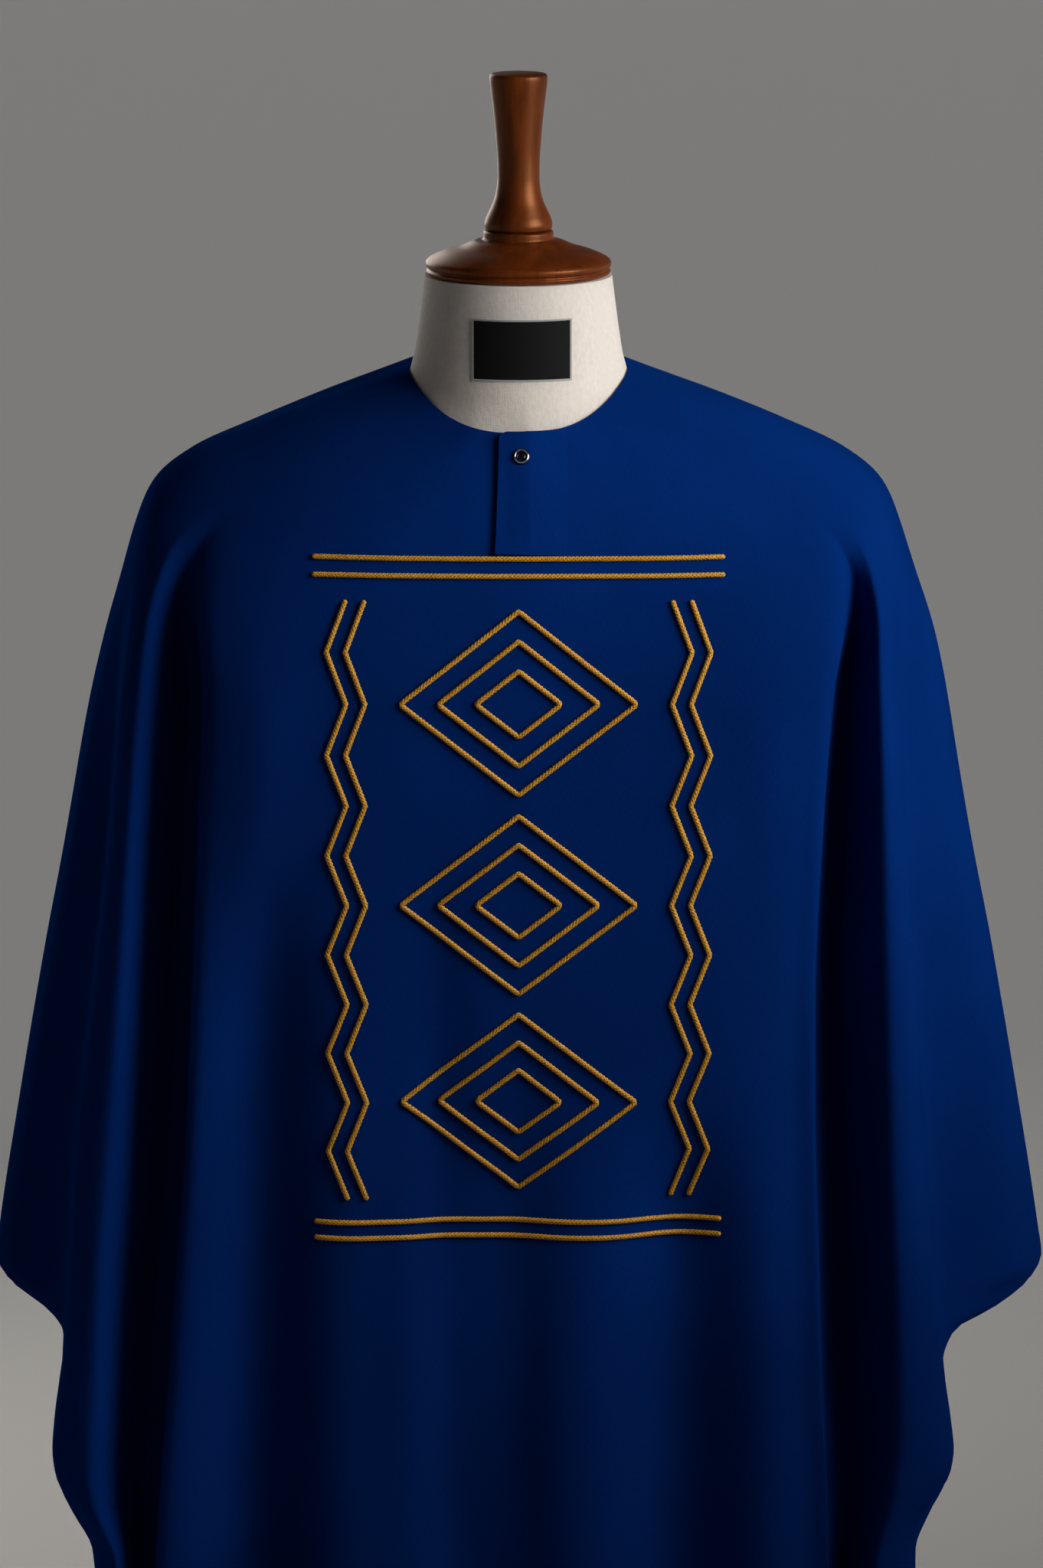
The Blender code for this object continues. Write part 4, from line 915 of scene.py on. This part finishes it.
def cord_piece(name, skin, corners, settings, closed=False):
    """A laid cord of three twisted strands that follows the cloth through corners (x, z)."""
    route, spots = rounded_route(corners, settings.width * CORNER_RADIUS, settings.step, closed)
    laid = [skin(x, z) for x, z in route]
    count = len(laid)
    rings = []
    for k, (point, out) in enumerate(laid):
        before = laid[(k - 1) % (count - 1)][0] if closed else laid[max(k - 1, 0)][0]
        after = laid[(k + 1) % (count - 1)][0] if closed else laid[min(k + 1, count - 1)][0]
        ahead = (after - before).normalized()
        rings.append((point, out, ahead.cross(out).normalized()))
    twists = max(round(spots[-1] / settings.twist), 1)

    def place(i, j, _):
        point, out, side = rings[j]
        angle = 2 * math.pi * i / CORD_SIDES
        turn = 2 * math.pi * twists * spots[j] / spots[-1]
        lobe = 1 + STRAND_RELIEF * math.cos(STRANDS * angle - turn)
        end = 1.0
        if not closed:
            reach = min(spots[j], spots[-1] - spots[j]) / (0.5 * settings.width)
            end = math.sqrt(max(1 - (1 - min(reach, 1.0)) ** 2, TIP_SHARE))
        across = side * (0.5 * settings.width * end * lobe * math.cos(angle))
        up = out * (0.5 * settings.height * (1 + end * lobe * math.sin(angle)) - CORD_SINK)
        return point + across + up, out, (spots[j], settings.width * i / CORD_SIDES * CORD_GIRTH)

    bm = mapped_grid(CORD_SIDES, count - 1, place, merge=True)
    return finish_mesh(f"laid_{name}", bm, once(plaited_cord, settings), sharp=80)


def embroidery_pieces(settings, front):
    """Nested lozenges down the middle between upright zigzags, with bars above and below."""
    skin = skin_of(front)
    pieces = []
    for k, height in enumerate((
        EMBROIDERY_TOP, EMBROIDERY_TOP - BAR_SPACING, EMBROIDERY_FOOT + BAR_SPACING, EMBROIDERY_FOOT,
    )):
        ends = [(-BAR_HALF_WIDTH, height), (BAR_HALF_WIDTH, height)]
        pieces.append(cord_piece(f"cord_bar_{k + 1}", skin, ends, settings))
    top, foot = EMBROIDERY_TOP - BAR_MARGIN, EMBROIDERY_FOOT + BAR_MARGIN
    pitch = (top - foot) / LOZENGE_COUNT
    for k in range(LOZENGE_COUNT):
        middle = top - (k + 0.5) * pitch
        for n, scale in enumerate(LOZENGE_SCALES):
            across, up = scale * LOZENGE_HALF_WIDTH, scale * (pitch - LOZENGE_GAP) / 2
            tips = [(0, middle + up), (across, middle), (0, middle - up), (-across, middle)]
            pieces.append(cord_piece(f"cord_lozenge_{k + 1}_{n + 1}", skin, tips, settings, closed=True))
    for side, word in ((-1, "right"), (1, "left")):
        for n in range(ZIGZAG_COUNT):
            inner = ZIGZAG_X + n * ZIGZAG_SPACING
            turns = [
                (side * (inner + ZIGZAG_DEPTH * (k % 2)), mix(top, foot, k / ZIGZAG_TURNS))
                for k in range(ZIGZAG_TURNS + 1)
            ]
            pieces.append(cord_piece(f"cord_zigzag_{word}_{n + 1}", skin, turns, settings))
    return pieces


# ---- the dress form and its stand
LABEL_LEFT, LABEL_RIGHT, LABEL_FOOT, LABEL_TOP = -0.0303, 0.0348, 1.4975, 1.5378
LABEL_THICKNESS, LABEL_BORDER, LABEL_GAP = 0.0008, 0.0011, 0.0001
LABEL_CELLS = 40, 16
PATCH_BLACK = (0.006, 0.006, 0.007)
LINEN_PERIOD = 0.0009         # distance between the linen's threads
FORM_STRIDE = 2               # the form takes every second column and row of the robe's grid
NECK_STEPS, TORSO_STEPS = 8, 6

# The turned wood: the steps round it, the radius of the flat it stands on where that isn't part of
# the curve, and its profile from the foot up as (radius, level).
Turning = namedtuple("Turning", "steps flat profile")
TURNINGS = {
    "neck_cap": Turning(96, None, (
        (0.0580, 1.5600), (0.0608, 1.5610), (0.0615, 1.5626), (0.0604, 1.5642), (0.0618, 1.5662),
        (0.0620, 1.5680), (0.0610, 1.5699), (0.0582, 1.5717), (0.0500, 1.5753), (0.0380, 1.5789),
        (0.0290, 1.5827), (0.0240, 1.5837), (0.0234, 1.5849), (0.0234, 1.5879), (0.0222, 1.5893),
        (0.0180, 1.5893),
    )),
    "finial_handle": Turning(96, None, (
        (0.0205, 1.5896), (0.0222, 1.5910), (0.0227, 1.5938), (0.0219, 1.5972), (0.0197, 1.6021),
        (0.0170, 1.6081), (0.0150, 1.6151), (0.0140, 1.6246), (0.0141, 1.6346), (0.0152, 1.6516),
        (0.0170, 1.6706), (0.0186, 1.6836), (0.0193, 1.6914), (0.0188, 1.6932), (0.0172, 1.6940),
    )),
    "stand_pole": Turning(48, None, (
        (0.0280, 0.0303), (0.0290, 0.0330), (0.0275, 0.0410), (0.0220, 0.0520), (0.0180, 0.0660),
        (0.0170, 0.0900), (0.0170, 0.7400), (0.0170, 0.7760), (0.0250, 0.7875), (0.0270, 0.7920),
        (0.0270, 0.7997),
    )),
    "stand_base": Turning(128, 0.1720, (
        (0.1730, 0.0002), (0.1750, 0.0030), (0.1750, 0.0100), (0.1720, 0.0165), (0.1650, 0.0195),
        (0.1570, 0.0225), (0.1510, 0.0285), (0.1450, 0.0300),
    )),
}


def form_ring(ring, bearing_shares):
    """A ring of the form at the bearings of the robe's columns, from centre front right round."""
    points = []
    for side, face, share in bearing_shares:
        reach, middle_z = (ring.front_y, ring.front_z) if face == "front" else (ring.back_y, ring.back_z)
        bearing = float(BEARING(share))
        x, y = plan(bearing, ring.side_x, reach, ring.square)
        lift = math.sin(math.radians(bearing)) ** SIDE_LIFT
        points.append((side * x, y, mix(middle_z, ring.side_z, lift)))
    return np.array(points)


def finer_rings(rings, steps):
    """Rings eased between those of a table."""
    knots = range(len(rings))
    curves = [monotone(knots, [ring[k] for ring in rings]) for k in range(len(FormRing._fields))]
    return [FormRing(*(float(curve(s)) for curve in curves))
            for s in np.linspace(0, len(rings) - 1, steps * (len(rings) - 1) + 1)]


def dress_form_piece(settings, robe):
    """The padded form: its neck, the shoulders that carry the robe, and its torso."""
    front, back = cloth_grid("front", robe), cloth_grid("back", robe)
    middle = len(front.shares) // 2
    quarter = list(range(0, middle + 1, FORM_STRIDE))
    loop = [(1, "front", c) for c in quarter] + [(1, "back", c) for c in quarter[-2::-1]]
    loop += [(-1, "back", c) for c in quarter[1:]] + [(-1, "front", c) for c in quarter[-2:0:-1]]
    shares = [(side, face, float(front.shares[middle + c])) for side, face, c in loop]
    under = robe.thickness + FORM_GAP
    worn = []
    for row in range(0, front.levels.index(SLIT_LEVEL) + 1, FORM_STRIDE):
        ring = []
        for side, face, column in loop:
            grid = front if face == "front" else back
            at = middle + side * column
            ring.append(grid.points[row, at] - grid.normals[row, at] * under)
        worn.append(np.array(ring))
    above = [form_ring(ring, shares) for ring in finer_rings(NECK_RINGS, NECK_STEPS)]
    below = [form_ring(ring, shares) for ring in finer_rings(TORSO_RINGS, TORSO_STEPS)]
    rings = above + worn + below
    around, down = len(loop), len(rings) - 1
    spread = [0.0]
    for ring, after in zip(rings, rings[1:]):
        spread.append(spread[-1] + float(np.linalg.norm(after[0] - ring[0])))
    neck_girth = 2 * math.pi * NECK_RINGS[1].side_x

    def place(i, j, _):
        row = down - j
        return Vector(rings[row][i % around]), (0, 0, 1), (neck_girth * i / around, -spread[row])

    bm = mapped_grid(around, down, place, merge=True)
    return finish_mesh("linen_form", bm, once(slubbed_linen, settings), sharp=60)


def label_piece(form):
    """The plain patch on the form's neck."""
    skin = skin_of(form)
    across, down = LABEL_CELLS

    def place(i, j, _):
        x = mix(LABEL_LEFT, LABEL_RIGHT, i / across)
        z = mix(LABEL_FOOT, LABEL_TOP, j / down)
        point, out = skin(x, z)
        return point + out * (LABEL_THICKNESS + LABEL_GAP), out, (i / across, j / down)

    bm = mapped_grid(across, down, place, thickness=LABEL_THICKNESS)
    return finish_mesh("neck_patch", bm, once(black_patch_satin))


def wood_pieces(settings):
    """The neck cap, its handle, the pole and the round base."""
    pieces = []
    for name, (steps, flat, profile) in TURNINGS.items():
        foot, top = profile[0][1], profile[-1][1]
        below = [(0, foot)] if flat is None else [(0, 0), (flat, 0)]
        profile = below + smooth_profile(profile) + [(0, top)]
        pieces.append(turned(f"turned_{name}", profile, once(varnished_wood, settings), steps))
    return pieces


# ---- settings
class RobeSettings(bpy.types.PropertyGroup):
    """Sizes and colour of the robe's cloth."""

    thickness: FloatProperty(
        name="Thickness", description="Thickness of the cloth", default=0.0015, unit="LENGTH")
    wobble: FloatProperty(
        name="Unevenness", description="Height of the cloth's gentle unevenness", default=0.0012,
        unit="LENGTH")
    twill_period: FloatProperty(
        name="Twill spacing", description="Distance between the twill's lines", default=0.0009,
        unit="LENGTH")
    roughness: FloatProperty(
        name="Roughness", description="Roughness of the cloth", default=0.72, subtype="FACTOR")
    sheen: FloatProperty(
        name="Sheen", description="Strength of the cloth's sheen", default=0.10, subtype="FACTOR")
    colour: FloatVectorProperty(
        name="Colour", description="Colour of the cloth", default=(0.0013, 0.0268, 0.1850),
        subtype="COLOR", size=3)


class CordSettings(bpy.types.PropertyGroup):
    """Sizes and colour of the embroidery's cord."""

    width: FloatProperty(
        name="Width", description="Width of the laid cord", default=0.0034, unit="LENGTH")
    height: FloatProperty(
        name="Height", description="How far the cord stands out of the cloth", default=0.0027,
        unit="LENGTH")
    twist: FloatProperty(
        name="Twist", description="Length of one lobe's turn along the cord", default=0.0026,
        unit="LENGTH")
    step: FloatProperty(
        name="Step", description="Distance between the cord's rings", default=0.0007, unit="LENGTH")
    colour: FloatVectorProperty(
        name="Colour", description="Colour of the cord", default=(0.82, 0.39, 0.024),
        subtype="COLOR", size=3)


class FormSettings(bpy.types.PropertyGroup):
    """Colours of the dress form and its stand."""

    linen: FloatVectorProperty(
        name="Linen", description="Colour of the form's linen", default=(0.90, 0.83, 0.76),
        subtype="COLOR", size=3)
    wood: FloatVectorProperty(
        name="Wood", description="Colour of the turned wood", default=(0.145, 0.029, 0.0042),
        subtype="COLOR", size=3)


class StageSettings(bpy.types.PropertyGroup):
    """Where the camera and lights stand."""

    distance: FloatProperty(
        name="Camera distance", description="Distance from the robe to the camera", default=4.5,
        unit="LENGTH")
    elevation: FloatProperty(
        name="Camera elevation", description="Height of the camera's view above level",
        default=math.radians(12.0), subtype="ANGLE")
    view_height: FloatProperty(
        name="View height", description="Height of the view at the robe", default=1.065,
        unit="LENGTH")
    target: FloatVectorProperty(
        name="Target", description="The point that the camera looks at", default=(0.002, 0.0, 1.2115),
        subtype="XYZ", size=3)
    key_power: FloatProperty(
        name="Key light", description="Power of the light on the chest", default=3.3, unit="POWER")
    back_power: FloatProperty(
        name="Back light", description="Power of the light on the back", default=24.0, unit="POWER")
    wash: FloatProperty(
        name="Floor washes", description="Power of the washes for each square metre of floor", default=0.8)
    floor: FloatVectorProperty(
        name="Floor", description="Colour of the floor", default=(0.72, 0.71, 0.69),
        subtype="COLOR", size=3)


# ---- operators
def settle(piece, slot, *nodes):
    """Rides a piece on the frame's only body, in place of the solids that it dresses."""
    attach(piece, "root")
    if nodes:
        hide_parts(*nodes)


class BOUBOU_OT_front(bpy.types.Operator):
    """Makes the robe's front"""

    bl_idname = "boubou.front"
    bl_label = "Front"

    def execute(self, context):
        piece = body_panel("robe_front", "front", context.scene.boubou_robe)
        settle(piece, "robe_cloth", "front")
        return {"FINISHED"}


class BOUBOU_OT_back(bpy.types.Operator):
    """Makes the robe's back"""

    bl_idname = "boubou.back"
    bl_label = "Back"

    def execute(self, context):
        piece = body_panel("robe_back", "back", context.scene.boubou_robe)
        settle(piece, "robe_cloth", "back")
        return {"FINISHED"}


class BOUBOU_OT_side_panels(bpy.types.Operator):
    """Makes the two side panels with their wrist openings"""

    bl_idname = "boubou.side_panels"
    bl_label = "Side panels"

    def execute(self, context):
        for word, side, flat, area in (
            ("left", 1, (0.484, 1.42), 0.434), ("right", -1, (0.440, 1.41), 0.410),
        ):
            piece = side_panel(f"side_panel_{word}", side, context.scene.boubou_robe)
            settle(piece, "robe_cloth", f"sleeve_panel_{word}")
        return {"FINISHED"}


class BOUBOU_OT_placket(bpy.types.Operator):
    """Makes the neck slit's overlap and its snap"""

    bl_idname = "boubou.placket"
    bl_label = "Placket and snap"

    def execute(self, context):
        flap = placket_piece(context.scene.boubou_robe, bpy.data.objects["robe_front"])
        settle(flap, "robe_cloth", "placket")
        flange, ring, cap = snap_pieces(flap)
        settle(flange, "black_enamel")
        settle(ring, "snap_metal", "snap_ring")
        settle(cap, "black_enamel", "snap_cap")
        return {"FINISHED"}


class BOUBOU_OT_embroidery(bpy.types.Operator):
    """Lays the gold cords of the embroidery"""

    bl_idname = "boubou.embroidery"
    bl_label = "Embroidery"

    def execute(self, context):
        for piece in embroidery_pieces(context.scene.boubou_cord, bpy.data.objects["robe_front"]):
            settle(piece, "gold_cord", piece.name.removeprefix("laid_"))
        return {"FINISHED"}


class BOUBOU_OT_form(bpy.types.Operator):
    """Makes the linen dress form and the plain patch on its neck"""

    bl_idname = "boubou.form"
    bl_label = "Dress form"

    def execute(self, context):
        form = dress_form_piece(context.scene.boubou_form, context.scene.boubou_robe)
        settle(form, "form_linen", "dress_form")
        settle(label_piece(form), "label_black", "form_label")
        return {"FINISHED"}


class BOUBOU_OT_stand(bpy.types.Operator):
    """Turns the cap, the handle, the pole and the base"""

    bl_idname = "boubou.stand"
    bl_label = "Turned wood"

    def execute(self, context):
        for piece in wood_pieces(context.scene.boubou_form):
            settle(piece, "turned_wood", piece.name.removeprefix("turned_"))
        return {"FINISHED"}


# The washes over the floor round the robe: two corners of each at WASH_HEIGHT, and its strength.
WASH_HEIGHT, WASH_SPREAD = 4.0, math.radians(60.0)
FLOOR_WASHES = (
    ("behind", (-34.0, 2.0), (34.0, 34.0), 1.0), ("ahead", (-34.0, -34.0), (34.0, -2.0), 0.6),
    ("left", (-34.0, -2.0), (-2.0, 2.0), 0.8), ("right", (2.0, -2.0), (34.0, 2.0), 0.8),
)
CHEST = (0.10, -0.10, 1.38)
KEY_PLACE, KEY_SIZE, KEY_COLOUR = (1.01, -0.60, 1.83), (0.9, 0.9), (1.0, 0.97, 0.94)
KEY_SPREAD = math.radians(75.0)
REAR_PLACE, REAR_SIZE, REAR_COLOUR = (-1.2, 2.6, 2.0), (1.8, 1.8), (1.0, 0.95, 0.89)
ROOM_COLOUR, ROOM_STRENGTH = (1.0, 0.93, 0.86, 1.0), 0.015
FLOOR_ROUGHNESS, FLOOR_STEPS = 0.9, 64
SENSOR_HEIGHT = 36.0          # of the camera, in millimetres
# The floor's profile, from its centre out: (radius, height).
FLOOR_PROFILE = (
    (0.0, 0.0), (8.0, 0.0), (16.0, 0.0), (23.0, 0.0), (26.0, 0.3), (28.5, 1.0), (30.5, 2.3), (32.0, 4.2),
    (33.0, 6.8), (33.4, 10.0), (33.5, 16.0),
)


def area_light(name, place, target, size, power, colour=(1.0, 1.0, 1.0), spread=math.pi):
    """A light aimed at a target: round, or oblong where it is a wash."""
    light = bpy.data.lights.new(name, "AREA")
    light.shape = "ELLIPSE" if size[0] < WASH_HEIGHT else "RECTANGLE"
    light.size, light.size_y = size
    light.energy, light.color, light.spread = power, colour, spread
    made = bpy.data.objects.new(name, light)
    made.location = place
    made.rotation_euler = (Vector(target) - Vector(place)).to_track_quat("-Z", "Y").to_euler()
    made.visible_camera = False
    bpy.context.scene.collection.objects.link(made)


class BOUBOU_OT_stage(bpy.types.Operator):
    """Sets the floor, the lights and the camera"""

    bl_idname = "boubou.stage"
    bl_label = "Stage"

    def execute(self, context):
        settings = context.scene.boubou_stage
        plain = Finish("stage_floor", settings.floor, FLOOR_ROUGHNESS).material
        turned("stage_floor", smooth_profile(FLOOR_PROFILE, 4), plain, FLOOR_STEPS)
        world = bpy.data.worlds.new("studio")
        world.use_nodes = True
        background = world.node_tree.nodes["Background"]
        background.inputs["Color"].default_value = ROOM_COLOUR
        background.inputs["Strength"].default_value = ROOM_STRENGTH
        context.scene.world = world
        target = Vector(settings.target)
        area_light("key", KEY_PLACE, CHEST, KEY_SIZE, settings.key_power, KEY_COLOUR, KEY_SPREAD)
        area_light("rear_light", REAR_PLACE, target, REAR_SIZE, settings.back_power, REAR_COLOUR)
        for name, low, high, share in FLOOR_WASHES:
            wide, deep = high[0] - low[0], high[1] - low[1]
            middle = ((low[0] + high[0]) / 2, (low[1] + high[1]) / 2)
            area_light(f"wash_{name}", (*middle, WASH_HEIGHT), (*middle, 0.0), (wide, deep),
                       wide * deep * share * settings.wash, spread=WASH_SPREAD)
        camera = bpy.data.cameras.new("camera")
        camera.sensor_fit = "VERTICAL"
        camera.sensor_height = SENSOR_HEIGHT
        camera.lens = SENSOR_HEIGHT * settings.distance / settings.view_height
        made = bpy.data.objects.new("camera", camera)
        away = Vector((0.0, -math.cos(settings.elevation), math.sin(settings.elevation)))
        made.location = target + away * settings.distance
        made.rotation_euler = (-away).to_track_quat("-Z", "Y").to_euler()
        context.scene.collection.objects.link(made)
        context.scene.camera = made
        context.scene.view_settings.view_transform = "Standard"
        return {"FINISHED"}


class BOUBOU_PT_panel(bpy.types.Panel):
    """Lists the robe's operators"""

    bl_idname = "BOUBOU_PT_panel"
    bl_label = "Grand boubou"
    bl_space_type = "VIEW_3D"
    bl_region_type = "UI"
    bl_category = "Boubou"

    def draw(self, context):
        for operator in OPERATORS:
            self.layout.operator(operator.bl_idname)


GROUPS = {
    "boubou_robe": RobeSettings,
    "boubou_cord": CordSettings,
    "boubou_form": FormSettings,
    "boubou_stage": StageSettings,
}
OPERATORS = (
    BOUBOU_OT_stage, BOUBOU_OT_front, BOUBOU_OT_back, BOUBOU_OT_side_panels, BOUBOU_OT_placket,
    BOUBOU_OT_embroidery, BOUBOU_OT_form, BOUBOU_OT_stand,
)


def register():
    for group in GROUPS.values():
        bpy.utils.register_class(group)
    for name, group in GROUPS.items():
        setattr(bpy.types.Scene, name, PointerProperty(type=group))
    for operator in OPERATORS:
        bpy.utils.register_class(operator)
    bpy.utils.register_class(BOUBOU_PT_panel)


def unregister():
    bpy.utils.unregister_class(BOUBOU_PT_panel)
    for operator in reversed(OPERATORS):
        bpy.utils.unregister_class(operator)
    for name in GROUPS:
        delattr(bpy.types.Scene, name)
    for group in reversed(GROUPS.values()):
        bpy.utils.unregister_class(group)


def main():
    register()
    bpy.ops.boubou.stage()
    bpy.ops.boubou.front()
    bpy.ops.boubou.back()
    bpy.ops.boubou.side_panels()
    bpy.ops.boubou.form()
    bpy.ops.boubou.placket()
    bpy.ops.boubou.embroidery()
    bpy.ops.boubou.stand()


if __name__ == "__main__":
    main()
